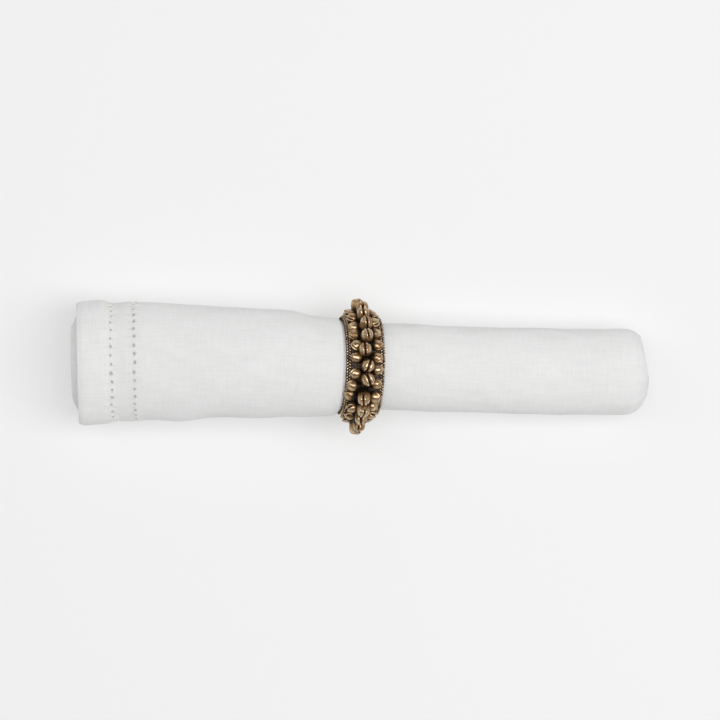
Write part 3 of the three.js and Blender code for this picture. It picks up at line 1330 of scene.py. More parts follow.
    def on_cloth(self, x: np.ndarray, strip: np.ndarray, below: np.ndarray | float) -> np.ndarray:
        """Points on the outer ply of the outer turn.

        Args:
            x: the place along the roll.
            strip: the length along the strip from its free edge.
            below: how far under the cloth's face, negative above it.

        Returns:
            The points, with one more axis of three.
        """
        turn = self.turn_at(strip)
        lowered = below - self.relief(x, strip)
        return self.shape.place(x, turn, lowered, self.edge_out(turn, Ply.OUTER))

    def line_at(self, x: float) -> int:
        """The number of the fine line that lies nearest to a place along the roll."""
        return int(np.argmin(np.abs(self.fine - x)))

    def hole_centres(self) -> tuple[np.ndarray, np.ndarray]:
        """The grid places of the holes.

        Returns:
            Their lines along the strip, and their lines along the roll.
        """
        pitch, stitch = int(self.stitch.pitch), self.stitch
        rows = [self.line_at(self.shape.first + row) for row in (stitch.row_one, stitch.row_two)]
        around = np.arange(pitch // 2, stitch.strip_end, pitch)
        open_rows = [(around, np.full_like(around, row)) for row in rows]
        along = np.concatenate(
            [self.line_at(run.start) + np.arange(run.first, run.past, 2) for run in stitch.seam_runs]
        )
        seam_rows = [
            (np.full_like(along, int(row)), along) for row in (stitch.seam_row_one, stitch.seam_row_two)
        ]
        strips, lines = zip(*open_rows, *seam_rows)
        return np.concatenate(strips), np.concatenate(lines)

    def hole_shapes(self) -> tuple[np.ndarray, np.ndarray, np.ndarray]:
        """The holes as they are drawn, each a little off its place.

        Returns:
            Their places along the roll and along the strip, and their sizes about 1.
        """
        rows, lines = self.hole_centres()
        chance = np.random.default_rng(7)
        off = chance.normal(0.0, self.stitch.wander, (2, len(rows)))
        size = 1 + chance.uniform(-1.0, 0.6, len(rows)) * self.stitch.size_spread
        return self.fine[lines] + off[0], rows + off[1], size

    def build(self) -> Patch:
        """The whole cloth: the loop round both plies, carried along the strip and wound up.

        Returns:
            One closed mesh, with its drawn holes.
        """
        loop = self.loop()
        strips = np.arange(self.outer_strip + 1.0)
        start, end = float(self.turn_at(strips[-1])), self.shape.turns_folded_end
        inner_turns = np.linspace(start, end, self.inner_steps + 1)[1:]
        turn = np.concatenate([self.turn_at(strips), inner_turns])[:, None]
        strip = np.concatenate([strips, self.strip_at(inner_turns)])[:, None]
        x = loop["x"][None]
        ply = self.thickness(x, strip)
        gap = self.gap(x)
        below = loop["plies"] * ply + loop["gaps"] * gap - self.relief(x, strip)
        bulge = loop["bulge_plies"] * ply + loop["bulge_gaps"] * gap
        outs = [self.edge_out(turn, side) for side in Ply]
        out = np.where(loop["ply"][None] == Ply.OUTER.value, *outs)
        points = self.shape.place(x, turn, below, out, bulge)
        rows, columns = points.shape[:2]
        flat = np.stack(np.broadcast_arrays(x - self.shape.first + bulge, strip), axis=-1)
        quads = wrapped_quads(rows, columns, close_rows=False)
        cloth = Patch(
            points=points.reshape(-1, 3),
            values={RECESS: np.zeros(rows * columns)},
            uv=flat.reshape(-1, 2),
            triangles=self.end_faces(rows, columns),
        )
        return self.with_holes(cloth, quads, columns).compact().outward()

    def end_faces(self, rows: int, columns: int) -> np.ndarray:
        """The faces that close the strip at its free edge and in the core of the roll.

        Args:
            rows: how many lines the mesh has along the strip.
            columns: how many corners the loop round both plies has.

        Returns:
            The triangles of both ends.
        """
        many, few = len(self.fine), len(self.coarse)
        sizes = [many, self.fold_steps - 1, few, self.edge_steps - 1, few, self.edge_steps - 1, few]
        ends = np.cumsum(sizes)
        outer = np.arange(many)
        fold = np.arange(many - 1, ends[1] + 1)
        inner_face = np.arange(ends[1], ends[2])
        inner_edge = np.arange(ends[2] - 1, ends[3] + 1)
        facing = np.arange(ends[3], ends[4])
        small_fold = np.arange(ends[4] - 1, ends[5] + 1)
        back = np.arange(ends[5], ends[6])
        outer_edge = np.append(np.arange(ends[6] - 1, columns), 0)
        faces = [
            zipped(outer, back[::-1], self.coarse_every),
            zipped(fold, small_fold[::-1], self.fold_steps // self.edge_steps),
            zipped(inner_face, facing[::-1], 1),
            fanned(inner_edge),
            fanned(outer_edge),
        ]
        cap = np.concatenate(faces)
        return np.concatenate([cap[:, ::-1], cap + (rows - 1) * columns])

    def with_holes(self, cloth: Patch, quads: np.ndarray, columns: int) -> Patch:
        """Cuts the drawn holes into the cloth's outer face.

        Round each hole four faces give way to a raised lip, a wall and a floor, with the wall and floor
        painted dark as shade: rings of eight corners that shrink from the grid's square to the hole's oval.

        Args:
            cloth: the cloth, without its quads.
            quads: the quads on their grid, shaped (rows, columns, 4).
            columns: how many corners a row has.

        Returns:
            The cloth with its quads and its holes.
        """
        rows, lines = self.hole_centres()
        around = [(-1, -1), (-1, 0), (-1, 1), (0, 1), (1, 1), (1, 0), (1, -1), (0, -1)]
        step = np.array(around)
        keep = np.ones(quads.shape[:2], bool)
        for back_row, back_line in ((1, 1), (1, 0), (0, 1), (0, 0)):
            keep[rows - back_row, lines - back_line] = False
        square = (rows[:, None] + step[:, 0]) * columns + lines[:, None] + step[:, 1]
        circle = step / np.linalg.norm(step, axis=1, keepdims=True)
        stitch = self.stitch
        levels = [
            # size of the ring, depth under the face, share of painted shade
            (stitch.lip, -stitch.lip_height, 0.0),
            (1.0, 0.03, 0.25),
            (0.9, stitch.hole_depth, 1.0),
            (0.0, stitch.hole_depth + 0.03, 1.0),
        ]
        rings, points, marks, flats = [square], [cloth.points], [cloth.values[RECESS]], [cloth.uv]
        start = len(cloth.points)
        centre_x, centre_strip, spread = (part[:, None] for part in self.hole_shapes())
        for size, depth, dark in levels:
            circle_now = circle[:1] if size == 0 else circle
            x = centre_x + spread * stitch.hole_across * size * circle_now[None, :, 1]
            strip = centre_strip + spread * stitch.hole_along * size * circle_now[None, :, 0]
            points.append(self.on_cloth(x, strip, depth).reshape(-1, 3))
            marks.append(np.full(x.size, dark))
            flats.append(np.stack([x - self.shape.first, strip], axis=-1).reshape(-1, 2))
            rings.append(start + np.arange(x.size).reshape(x.shape))
            start += x.size
        walls = []
        for outside, inside in zip(rings[:-2], rings[1:-1]):
            corners = [outside, np.roll(outside, -1, 1), np.roll(inside, -1, 1), inside]
            walls.append(np.stack(corners, axis=-1).reshape(-1, 4))
        rim, floor = rings[-2], np.broadcast_to(rings[-1], rings[-2].shape)
        floors = np.stack([rim, np.roll(rim, -1, 1), floor], axis=-1).reshape(-1, 3)
        return Patch(
            points=np.concatenate(points),
            quads=np.concatenate([quads[keep], *walls]),
            triangles=np.concatenate([cloth.triangles, floors]),
            values={RECESS: np.concatenate(marks)},
            uv=np.concatenate(flats),
        )

    def stitches(self) -> Patch:
        """The sewing thread: two stitches out of each hole, and two wraps round each bar.

        Returns:
            All threads, none of them lower than the table.
        """
        stitch = self.stitch
        x, strip, _ = self.hole_shapes()
        on_open_row = x < self.shape.first + stitch.row_two + stitch.row_margin
        half_pitch = stitch.pitch / 2
        near, far = half_pitch - stitch.wrap_offset, half_pitch + stitch.wrap_offset
        jobs = [
            # from and to across the row, then along the row
            (stitch.stitch_from, stitch.stitch_to, 0.0, stitch.stitch_slant),
            (-stitch.stitch_from, -stitch.stitch_to, 0.0, stitch.stitch_slant),
            (-stitch.wrap_half, stitch.wrap_half, near, near),
            (-stitch.wrap_half, stitch.wrap_half, far, far),
        ]
        share = np.linspace(0.0, 1.0, stitch.thread_steps)[None]
        paths, normals = [], []
        chance = np.random.default_rng(19)
        for across_from, across_to, along_from, along_to in jobs:
            across = across_from + (across_to - across_from) * share * chance.uniform(0.8, 1.1, (len(x), 1))
            slant = chance.normal(0.0, stitch.slant_spread, (len(x), 1))
            along = along_from + (along_to - along_from + slant) * share
            path_x = x[:, None] + np.where(on_open_row[:, None], across, along)
            path_strip = strip[:, None] + np.where(on_open_row[:, None], along, across)
            height = stitch.thread * stitch.bedded + stitch.arch * np.sin(math.pi * share)
            path = self.on_cloth(path_x, path_strip, -height)
            away = self.on_cloth(path_x, path_strip, -height - 1.0) - path
            paths.append(path)
            normals.append(away / np.linalg.norm(away, axis=-1, keepdims=True))
        sewn = threads(np.concatenate(paths), np.concatenate(normals), stitch.thread, stitch.thread_sides)
        sewn.points[:, 2] = np.maximum(sewn.points[:, 2], 0.0)
        return sewn

    def make(self) -> None:
        """Builds the napkin and its stitches, dresses them and ties them to the frame."""
        cloth = self.build().add_to_scene("rolled_napkin", sharp_deg=65.0)
        COTTON.dress(cloth)
        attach(cloth, "root")
        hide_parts("napkin")
        sewn = self.stitches().add_to_scene("hemstitch_thread")
        SEWING_THREAD.dress(sewn)
        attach(sewn, "root")
        LOG.info("napkin: %d faces, %d in its stitches", len(cloth.data.polygons), len(sewn.data.polygons))


def zipped(fine: np.ndarray, coarse: np.ndarray, ratio: int) -> np.ndarray:
    """Triangles between two lines of corners, of which one has ratio times the other's steps.

    Args:
        fine: corner numbers of the line with more steps.
        coarse: corner numbers of the other.
        ratio: how many of the first line's steps go to one of the other's.

    Returns:
        The triangles, as corner numbers.
    """
    low, high = coarse[:-1], coarse[1:]
    split = (ratio + 1) // 2
    faces = [
        np.stack([fine[k:-1:ratio], fine[k + 1 :: ratio], low if k < split else high], axis=-1)
        for k in range(ratio)
    ]
    faces.append(np.stack([low, fine[split::ratio][: len(low)], high], axis=-1))
    return np.concatenate(faces)


def fanned(corners: np.ndarray) -> np.ndarray:
    """Triangles from the first corner of a line to its other steps."""
    return np.stack([np.full(len(corners) - 2, corners[0]), corners[1:-1], corners[2:]], axis=-1)


THREAD_END = 0.45
THREAD_END_FROM = 0.08


def threads(paths: np.ndarray, normals: np.ndarray, radius: float, sides: int) -> Patch:
    """Round threads along many short paths, drawn in at both ends by a half sine.

    Args:
        paths: centre lines shaped (threads, steps, 3).
        normals: a direction away from the cloth at each point of the paths.
        radius: the threads' radius.
        sides: corners round a thread.

    Returns:
        All threads as one patch.
    """
    count, steps, _ = paths.shape
    along = np.gradient(paths, axis=1)
    along /= np.linalg.norm(along, axis=-1, keepdims=True)
    aside = np.cross(along, normals)
    angle = np.arange(sides) * FULL_TURN / sides
    share = np.linspace(THREAD_END_FROM, 1 - THREAD_END_FROM, steps)
    ends = THREAD_END + (1 - THREAD_END) * np.sin(math.pi * share)
    ring = normals[:, :, None] * np.cos(angle)[:, None] + aside[:, :, None] * np.sin(angle)[:, None]
    points = paths[:, :, None] + ring * (radius * ends)[None, :, None, None]
    body = wrapped_quads(steps, sides, close_rows=False).reshape(-1, 4)
    cap = fanned(np.arange(sides))
    caps = np.concatenate([cap[:, ::-1], cap + (steps - 1) * sides])
    start = (np.arange(count) * steps * sides)[:, None, None]
    return Patch(
        points=points.reshape(-1, 3),
        quads=(body[None] + start).reshape(-1, 4),
        triangles=(caps[None] + start).reshape(-1, 3),
    ).outward()


@dataclass(frozen=True)
class RingSeat:
    """Where the ring sits: its centre, how it leans with its top to the folded end, and its turn."""

    x: float = -0.76
    z: float = 29.93
    lean: float = math.radians(8.4)
    turn_on_table: float = math.radians(1.3)
    bore: float = 19.7
    band_thickness: float = 0.9
    half_width: float = 8.6
    gap: float = 0.3

    @property
    def band_outer(self) -> float:
        """The band's outer radius."""
        return self.bore + self.band_thickness

    @property
    def seat(self) -> float:
        """The radius on which beads and bells sit."""
        return self.band_outer + self.gap

    def placed(self, patch: Patch) -> Patch:
        """Moves a patch that was built round the X axis onto the roll.

        Args:
            patch: the patch, which is changed.

        Returns:
            The same patch.
        """
        turn = (turned(2, -self.turn_on_table) @ turned(1, self.lean))[0]
        patch.points = patch.points @ turn.T + np.array([self.x, 0.0, self.z])
        return patch

    def hoop_point(self, axial: np.ndarray, radius: np.ndarray, angle: np.ndarray) -> np.ndarray:
        """Points round the X axis.

        Args:
            axial: the place along the axis.
            radius: the distance from the axis.
            angle: the angle from the top towards -Y.

        Returns:
            The points, with one more axis of three.
        """
        axial, radius, angle = np.broadcast_arrays(axial, radius, angle)
        return np.stack([axial, -radius * np.sin(angle), radius * np.cos(angle)], axis=-1)


class Side(Enum):
    """The two sides of the ring along the roll."""

    OPEN = -1
    FOLD = 1

    @property
    def word(self) -> str:
        """The side's word in the names of nodes."""
        return f"{self.name.lower()}_side"


@dataclass
class WovenBand:
    """The band under the bells: a hoop of stiff dark threads, woven over and under."""

    seat: RingSeat
    cells_around: int = 104
    cells_across: int = 14
    steps_per_cell: int = 4
    relief: float = 0.2
    valley_share: float = 0.45
    edge_round: float = 0.35
    edge_power: int = 12
    inner_columns: int = 5
    inner_margin: float = 0.05

    def build(self) -> Patch:
        """The band as a closed hoop.

        Its outer face rises over each crossing: a half sine of the thread on top, and a product
        of both threads' half sines. It is drawn in at both edges, and the inner face is plain.

        Returns:
            The band round the X axis, painted darker as shade in the hollows of its weave and on its inner
            face.
        """
        nudge = 1e-9
        around = self.cells_around * self.steps_per_cell
        across = self.cells_across * self.steps_per_cell
        angle = np.arange(around) * FULL_TURN / around
        place = np.linspace(-1.0, 1.0, across + 1)
        along_cells = (place + 1) / 2 * self.cells_across
        around_cells = angle / FULL_TURN * self.cells_around
        over = (np.floor(along_cells + nudge)[None, :] + np.floor(around_cells + nudge)[:, None]) % 2
        warp = np.abs(np.sin(math.pi * along_cells))[None, :] * np.ones((around, 1))
        weft = np.abs(np.sin(math.pi * around_cells))[:, None] * np.ones((1, across + 1))
        on_top = np.where(over > 0.5, warp, weft)
        height = self.valley_share * warp * weft + (1 - self.valley_share) * on_top
        drawn = self.edge_round * np.abs(place) ** self.edge_power
        outer = self.seat.band_outer - drawn[None, :] + self.relief * (height - 0.5)
        axial = place * self.seat.half_width
        top = self.seat.hoop_point(axial[None, :], outer, angle[:, None])
        inner_half = self.seat.half_width - self.inner_margin
        bottom_axial = np.linspace(1.0, -1.0, self.inner_columns) * inner_half
        bottom = self.seat.hoop_point(bottom_axial[None, :], self.seat.bore, angle[:, None])
        points = np.concatenate([top, bottom], axis=1)
        columns = points.shape[1]
        # painted shade: the weave's hollows and the whole inner face are marked dark
        low = np.concatenate([1 - height, np.ones((around, self.inner_columns))], axis=1)
        return Patch(
            points=points.reshape(-1, 3),
            quads=wrapped_quads(around, columns, close_rows=True).reshape(-1, 4),
            values={RECESS: low.ravel()},
        ).outward()

    def make(self) -> None:
        """Builds the band, dresses it and ties it to the frame."""
        band = self.seat.placed(self.build()).add_to_scene("woven_band")
        BAND_WEAVE.dress(band)
        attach(band, "root")
        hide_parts("ring_band")
        LOG.info("band: %d faces", len(band.data.polygons))


@dataclass
class SeedBeadRim:
    """One edge of the ring: two rows of seed beads, laid aslant like a braid, on their cord."""

    seat: RingSeat
    side: Side
    beads: int = 104
    bead_length: float = 0.70
    bead_width: float = 0.40
    bead_height: float = 0.46
    slant: float = math.radians(48)
    rows: tuple[float, ...] = (8.15, 7.1)
    lift: float = 0.5
    around: int = 6
    rings: int = 5
    # where the painted shade on each bead's sides and underside gives way to its bright top
    bright_from: float = 0.9
    bright_ramp: float = 0.7
    slant_spread: float = 0.08
    smallest: float = 0.9
    largest: float = 1.08
    most_tone: float = 0.9
    cord: float = 0.42
    cord_lift: float = 0.1

    def bead(self) -> Patch:
        """One seed bead.

        Returns:
            An egg one unit long each way, its ends closed and its lower part painted dark as shade.
        """
        latitude = np.linspace(-1.0, 1.0, self.rings + 2)[1:-1] * math.pi / 2
        angle = np.arange(self.around) * FULL_TURN / self.around
        rings = np.stack(
            np.broadcast_arrays(
                np.cos(latitude)[:, None] * np.cos(angle),
                np.sin(latitude)[:, None],
                np.cos(latitude)[:, None] * np.sin(angle),
            ),
            axis=-1,
        )
        bead = closed_bead(rings, np.array([0.0, -1.0, 0.0]), np.array([0.0, 1.0, 0.0]))
        # painted shade: dark on the bead's sides and underside, bright only on its top
        bead.values = {RECESS: smooth((self.bright_from - bead.points[:, 2]) / self.bright_ramp)}
        return bead

    def build(self) -> Patch:
        """Both rows of beads round the hoop, and the cord that they are sewn on.

        Returns:
            The rim round the X axis.
        """
        made, chance = [], np.random.default_rng(11 + self.side.value)
        for row, axial in enumerate(self.rows):
            angle = (np.arange(self.beads) + 0.5 * row) * FULL_TURN / self.beads
            sign = (1 if row == 0 else -1) * self.side.value
            turns = turned(0, angle) @ turned(2, np.full(self.beads, sign * self.slant))
            turns = turns @ turned(2, chance.normal(0.0, self.slant_spread, self.beads))
            moves = self.seat.hoop_point(self.side.value * axial, self.seat.seat + self.lift, angle)
            shape = np.array([self.bead_width, self.bead_length, self.bead_height])
            sizes = shape * chance.uniform(self.smallest, self.largest, (self.beads, 1))
            beads = repeated(self.bead(), turns, moves, sizes)
            per_bead = len(beads.points) // self.beads
            beads.values[TONE] = np.repeat(chance.uniform(0.0, self.most_tone, self.beads), per_bead)
            made.append(beads)
        middle = self.side.value * sum(self.rows) / len(self.rows)
        made.append(twisted_hoop(self.seat, middle, self.seat.seat + self.cord_lift, self.cord, 1.0))
        return joined(made)

    def make(self) -> None:
        """Builds the rim, dresses it and ties it to the frame."""
        rim = self.seat.placed(self.build()).add_to_scene(f"rim_beads_{self.side.word}")
        BEAD_BRASS.dress(rim)
        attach(rim, "root")
        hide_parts(f"ring_rim_{self.side.word}")
        LOG.info("rim, %s: %d faces", self.side.word, len(rim.data.polygons))


def twisted_hoop(seat: RingSeat, axial: float, radius: float, thick: float, recess: float) -> Patch:
    """A two-strand cord that runs once round the ring.

    Args:
        seat: the ring's seat.
        axial: where along the ring it runs.
        radius: the radius of its centre line.
        thick: the cord's own radius.
        recess: how dark it is kept, from 0 to 1.

    Returns:
        The cord; its radius swells twice round it, and the swell turns as it runs.
    """
    steps, sides, twists, strand_depth = 288, 8, 60, 0.16
    angle = (np.arange(steps) * FULL_TURN / steps)[:, None]
    round_cord = (np.arange(sides) * FULL_TURN / sides)[None, :]
    swell = thick * (1 + strand_depth * np.cos(2 * round_cord - twists * angle))
    sideways, outwards = swell * np.sin(round_cord), swell * np.cos(round_cord)
    points = seat.hoop_point(axial + sideways, radius + outwards, angle)
    size = steps * sides
    return Patch(
        points=points.reshape(-1, 3),
        quads=wrapped_quads(steps, sides, close_rows=True).reshape(-1, 4),
        values={RECESS: np.full(size, recess), TONE: np.full(size, 0.5)},
    ).outward()


@dataclass(frozen=True)
class Bell:
    """A small brass bell: a blunt bud on a narrow neck, split at its tip into two lips."""

    height: float
    width: float
    slit_width: float
    slit_depth: float
    lip: float
    groove: float
    neck: float = 0.58
    widest: float = 0.46
    bluntness: float = 3.3
    plan: float = 2.3
    # where the slit starts, and the places of lips and groove beside it in slit widths
    slit_from: float = 0.52
    slit_ramp: float = 0.22
    lip_place: float = 2.3
    lip_width: float = 1.1
    groove_place: float = 4.0
    groove_width: float = 0.9
    # how dark the groove and the lower part are painted, with painted shade and tarnish
    groove_dark: float = 0.35
    dark_to: float = 0.52
    dark_margin: float = 0.1
    dark_ramp: float = 0.2
    unworn: float = 0.5
    unworn_ramp: float = 0.45
    foot: float = 0.05
    around: int = 56
    lower_rings: int = 8
    upper_rings: int = 24
    crowding: float = 0.36

    def build(self) -> Patch:
        """The bell standing on the origin, its tip up and its slit along Y.

        Below its widest place the radius grows as a sine from the neck, and above it the bell is
        half a blunt oval. In plan it is a slightly squared circle. Along the slit the wall sinks
        by a bell-shaped trough, beside it run two raised lips, and past them a shallow groove.

        Returns:
            The bell as one closed patch.
        """
        half = self.width / 2
        low = np.linspace(0.0, 1.0, self.lower_rings, endpoint=False)
        up = np.linspace(0.0, 1.0, self.upper_rings, endpoint=False) * math.pi / 2
        rise, draw = np.sin(up) ** (2 / self.bluntness), np.cos(up) ** (2 / self.bluntness)
        radius = np.concatenate([self.neck + (1 - self.neck) * np.sin(low * math.pi / 2), draw]) * half
        height = np.concatenate([self.widest * low, self.widest + (1 - self.widest) * rise])
        even = np.arange(self.around) * FULL_TURN / self.around
        angle = even + self.crowding * np.sin(2 * even)
        cosine, sine = np.cos(angle), np.sin(angle)
        squared = (np.abs(cosine) ** self.plan + np.abs(sine) ** self.plan) ** (-1 / self.plan)
        level = np.broadcast_to(height[:, None], (len(height), self.around))
        spread = radius[:, None] * squared
        rings = np.stack([spread * cosine, spread * sine, level * self.height], axis=-1)
        slope = np.gradient(radius) / np.gradient(height * self.height)
        normal = np.stack(np.broadcast_arrays(cosine, sine, -slope[:, None]), axis=-1)
        normal = normal / np.linalg.norm(normal, axis=-1, keepdims=True)

        across = np.abs(rings[..., 0])
        reach, slit = smooth((level - self.slit_from) / self.slit_ramp), self.slit_width
        trough = np.exp(-((across / slit) ** 3))
        lips = np.exp(-(((across - self.lip_place * slit) / (self.lip_width * slit)) ** 2))
        groove = np.exp(-(((across - self.groove_place * slit) / (self.groove_width * slit)) ** 2))
        sunk = self.slit_depth * trough + self.groove * groove - self.lip * lips
        foot = np.array([0.0, 0.0, self.foot])
        tip = np.array([0.0, 0.0, self.height - self.slit_depth])
        bell = closed_bead(rings - normal * (reach * sunk)[..., None], foot, tip)
        # painted shade: the slit is painted dark as the shade of the bell's hollow, and the groove and the
        # part below dark_to are darkened as shade and tarnish between the bells; unworn adds tarnish further
        # up
        unworn = self.unworn * (1 - smooth((level - self.dark_to) / self.unworn_ramp))
        rubbed_and_unshaded = smooth((level - self.dark_to + self.dark_margin) / self.dark_ramp)
        dark = reach * (trough + self.groove_dark * groove) + 1 - rubbed_and_unshaded + unworn
        bell.values = {RECESS: np.concatenate([np.clip(dark, 0.0, 1.0).ravel(), [1.0, 1.0]])}
        return bell


@dataclass(frozen=True)
class SmallBell(Bell):
    """A bell of a side string: smaller and rounder, and bright further down, its painted shade and tarnish
    ending lower.
    """

    bluntness: float = 1.95
    plan: float = 2.05
    dark_to: float = 0.36
    around: int = 44
    upper_rings: int = 18


@dataclass(frozen=True)
class Splay:
    """A bell pushed out of line: which one, how far outwards and round, and how much larger."""

    index: int
    axial: float
    tilt: float
    size: float
    twist: float = 0.0


@dataclass
class BellString:
    """Bells threaded side by side on a cord, right round the ring."""

    seat: RingSeat
    bells: tuple[Bell, ...]
    name: str
    node: str
    side: int = 1
    axial: float = 0.0
    lift: float = 0.0
    tilt: float = 0.0
    phase: float = 0.0
    seed: int = 1
    count: int = 24
    sway: float = math.radians(5)
    twist: float = math.radians(9)
    size_spread: float = 0.05
    angle_spread: float = 0.010
    axial_spread: float = 0.12
    least_tone: float = 0.15
    most_tone: float = 0.75
    cord: float = 0.4
    cord_lift: float = 0.1
    splayed: tuple[Splay, ...] = ()

    def build(self) -> Patch:
        """The bells, each a little unlike the next, and their cord.

        Returns:
            The string round the X axis.
        """
        chance = np.random.default_rng(self.seed)
        angle = (np.arange(self.count) + self.phase) * FULL_TURN / self.count
        angle = angle + chance.normal(0.0, self.angle_spread, self.count)
        tilt = self.tilt + chance.normal(0.0, self.sway, self.count)
        axial = self.axial + chance.normal(0.0, self.axial_spread, self.count)
        sizes = 1 + chance.uniform(-self.size_spread, self.size_spread, (self.count, 3))
        sway = chance.normal(0.0, self.sway, self.count)
        twist = chance.normal(0.0, self.twist, self.count)
        for bell in self.splayed:
            tilt[bell.index] += bell.tilt
            axial[bell.index] += bell.axial
            sizes[bell.index] *= bell.size
            twist[bell.index] += bell.twist
        turns = turned(0, angle) @ turned(1, self.side * tilt) @ turned(0, sway) @ turned(2, twist)
        moves = self.seat.hoop_point(self.side * axial, self.seat.seat + self.lift, angle)
        kind = chance.integers(0, len(self.bells), self.count)
        tone = chance.uniform(self.least_tone, self.most_tone, self.count)
        made = []
        for number, bell in enumerate(self.bells):
            chosen = kind == number
            copies = repeated(bell.build(), turns[chosen], moves[chosen], sizes[chosen])
            copies.values[TONE] = np.repeat(tone[chosen], len(copies.points) // chosen.sum())
            made.append(copies)
        cord_radius = self.seat.seat + self.cord_lift
        made.append(twisted_hoop(self.seat, self.side * self.axial, cord_radius, self.cord, 1.0))
        return joined(made)

    def make(self) -> None:
        """Builds the string, dresses it and ties it to the frame."""
        made = self.seat.placed(self.build()).add_to_scene(self.name)
        BELL_BRASS.dress(made)
        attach(made, "root")
        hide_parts(self.node)
        LOG.info("%s: %d faces", self.name, len(made.data.polygons))


@dataclass
class BeadedRing:
    """The whole ring: a woven band with beaded edges and three strings of bells."""

    seat: RingSeat = field(default_factory=RingSeat)
    centre_bells: tuple[Bell, ...] = (
        Bell(height=9.1, width=5.6, slit_width=0.36, slit_depth=1.3, lip=0.20, groove=0.16),
        Bell(height=9.0, width=5.7, slit_width=0.46, slit_depth=1.6, lip=0.18, groove=0.10),
        Bell(height=9.1, width=5.5, slit_width=0.33, slit_depth=1.0, lip=0.24, groove=0.20, slit_from=0.68),
    )
    side_bells: tuple[Bell, ...] = (
        SmallBell(height=5.5, width=5.0, slit_width=0.30, slit_depth=1.0, lip=0.18, groove=0.0),
        SmallBell(
            height=5.8,
            width=4.9,
            slit_width=0.36,
            slit_depth=1.2,
            lip=0.22,
            groove=0.0,
            bluntness=1.75,
        ),
    )
    turned_bells: tuple[Splay, ...] = (
        Splay(18, -0.3, 0.0, 0.98, math.radians(38)),
        Splay(6, 0.0, 0.0, 1.0, math.radians(-20)),
    )
    side_axial: float = 1.7
    side_lift: float = 1.25
    side_tilt: float = math.radians(76)
    splayed: tuple[Splay, ...] = (
        Splay(1, 0.8, math.radians(8), 1.04),
        Splay(2, 1.4, math.radians(14), 1.14),
        Splay(23, 0.2, math.radians(-14), 1.0),
    )

    def make(self) -> None:
        """Builds every part of the ring."""
        WovenBand(self.seat).make()
        for side in Side:
            SeedBeadRim(self.seat, side).make()
        BellString(
            self.seat,
            self.centre_bells,
            "bell_string_centre",
            "bells_centre",
            seed=5,
            twist=math.radians(10),
            splayed=self.turned_bells,
        ).make()
        for side, phase, seed, splayed in ((Side.OPEN, 0.5, 23, self.splayed), (Side.FOLD, 0.33, 37, ())):
            BellString(
                self.seat,
                self.side_bells,
                f"bell_string_{side.word}",
                f"bells_{side.word}",
                side=side.value,
                axial=self.side_axial,
                lift=self.side_lift,
                tilt=self.side_tilt,
                phase=phase,
                seed=seed,
                sway=math.radians(9),
                twist=math.radians(15),
                splayed=splayed,
            ).make()


@dataclass(frozen=True)
class SoftLight:
    """A large soft light that faces the middle of the table."""

    name: str
    place: Triple
    width: float
    length: float
    power: float

    def make(self) -> None:
        """Puts the light into the scene."""
        data = bpy.data.lights.new(self.name, "AREA")
        data.shape = "RECTANGLE"
        data.size = self.width * MM
        data.size_y = self.length * MM
        data.energy = self.power
        made = bpy.data.objects.new(self.name, data)
        made.location = tuple(part * MM for part in self.place)
        made.rotation_euler = (-made.location).to_track_quat("-Z", "Y").to_euler()
        bpy.context.scene.collection.objects.link(made)


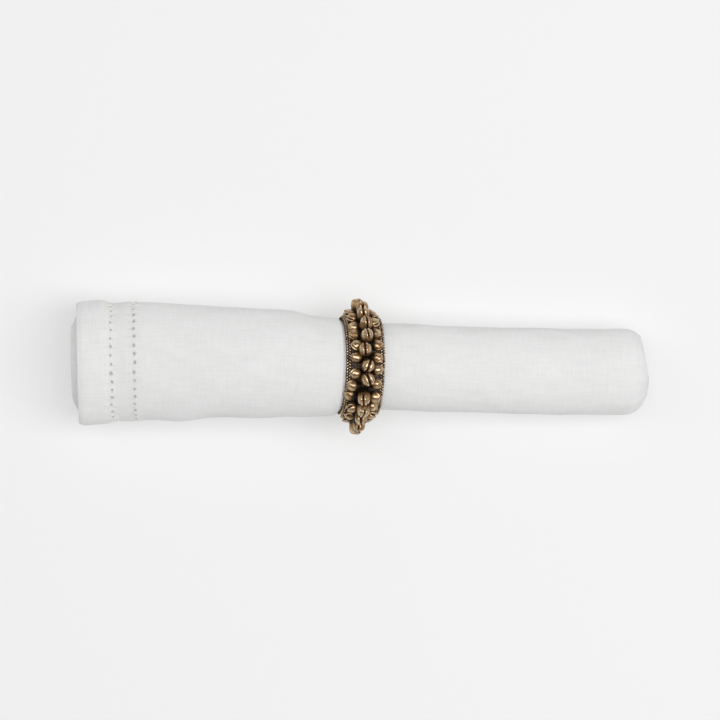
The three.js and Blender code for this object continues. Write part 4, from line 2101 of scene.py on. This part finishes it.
@dataclass(frozen=True)
class Studio:
    """The camera above the napkin, the pale ground, and plain soft light."""

    pixel: float = 0.4456
    pixel_height: float = 25.0
    centre_x: float = -0.22
    centre_y: float = 2.66
    camera_height: float = 5000.0
    sensor: float = 36.0
    ground_size: float = 6000.0
    soft_lights: tuple[SoftLight, ...] = (
        SoftLight("soft_light_right", (460.0, -30.0, 1360.0), 760.0, 1400.0, 15.0),
        SoftLight("soft_light_left", (-600.0, 280.0, 1180.0), 600.0, 1200.0, 3.8),
    )
    sky: Colour = (1.0, 1.0, 1.0)
    horizon: float = 0.72
    zenith: float = 0.10
    zenith_from: float = 0.25
    zenith_by: float = 0.75

    def camera(self) -> None:
        """A long lens that looks straight down, framed as the photograph is."""
        data = bpy.data.cameras.new("camera_above")
        data.sensor_width = self.sensor
        half_frame = PHOTO_PIXELS / 2 * self.pixel
        data.lens = self.sensor / 2 * (self.camera_height - self.pixel_height) / half_frame
        data.clip_end = 4 * self.camera_height * MM
        made = bpy.data.objects.new("camera_above", data)
        made.location = (self.centre_x * MM, self.centre_y * MM, self.camera_height * MM)
        bpy.context.scene.collection.objects.link(made)
        bpy.context.scene.camera = made

    def light(self) -> None:
        """A soft light at either side, and a pale sky that is dimmer overhead."""
        for light in self.soft_lights:
            light.make()
        world = bpy.data.worlds.new("pale_sky")
        world.use_nodes = True
        graph = Graph(world.node_tree)
        direction = graph.node("ShaderNodeTexCoord", {}).outputs["Generated"]
        height = graph.node("ShaderNodeSeparateXYZ", {"Vector": direction}).outputs["Z"]
        inputs = {"Value": height, "From Min": self.zenith_from, "From Max": self.zenith_by}
        share = graph.node("ShaderNodeMapRange", inputs, interpolation_type="SMOOTHSTEP").outputs[0]
        sky = world.node_tree.nodes["Background"]
        graph.set(sky.inputs["Color"], self.sky)
        graph.set(sky.inputs["Strength"], graph.between(share, self.horizon, self.zenith))
        bpy.context.scene.world = world

    def ground(self) -> None:
        """A level pale ground at the height of the table."""
        half = self.ground_size / 2
        corners = np.array([[-half, -half, 0.0], [half, -half, 0.0], [half, half, 0.0], [-half, half, 0.0]])
        made = Patch(points=corners, quads=np.array([[0, 1, 2, 3]])).add_to_scene("pale_ground")
        GROUND.dress(made)

    def make(self) -> None:
        """Sets up the whole studio."""
        bpy.context.scene.view_settings.view_transform = "Standard"
        self.camera()
        self.light()
        self.ground()
        LOG.info("studio: camera %.1f m above the table", self.camera_height * MM)


def main() -> None:
    """Builds the studio, the napkin and the ring."""
    logging.basicConfig(level=logging.INFO, format="%(name)s: %(message)s")
    Studio().make()
    RolledNapkin().make()
    BeadedRing().make()


if __name__ == "__main__":
    main()
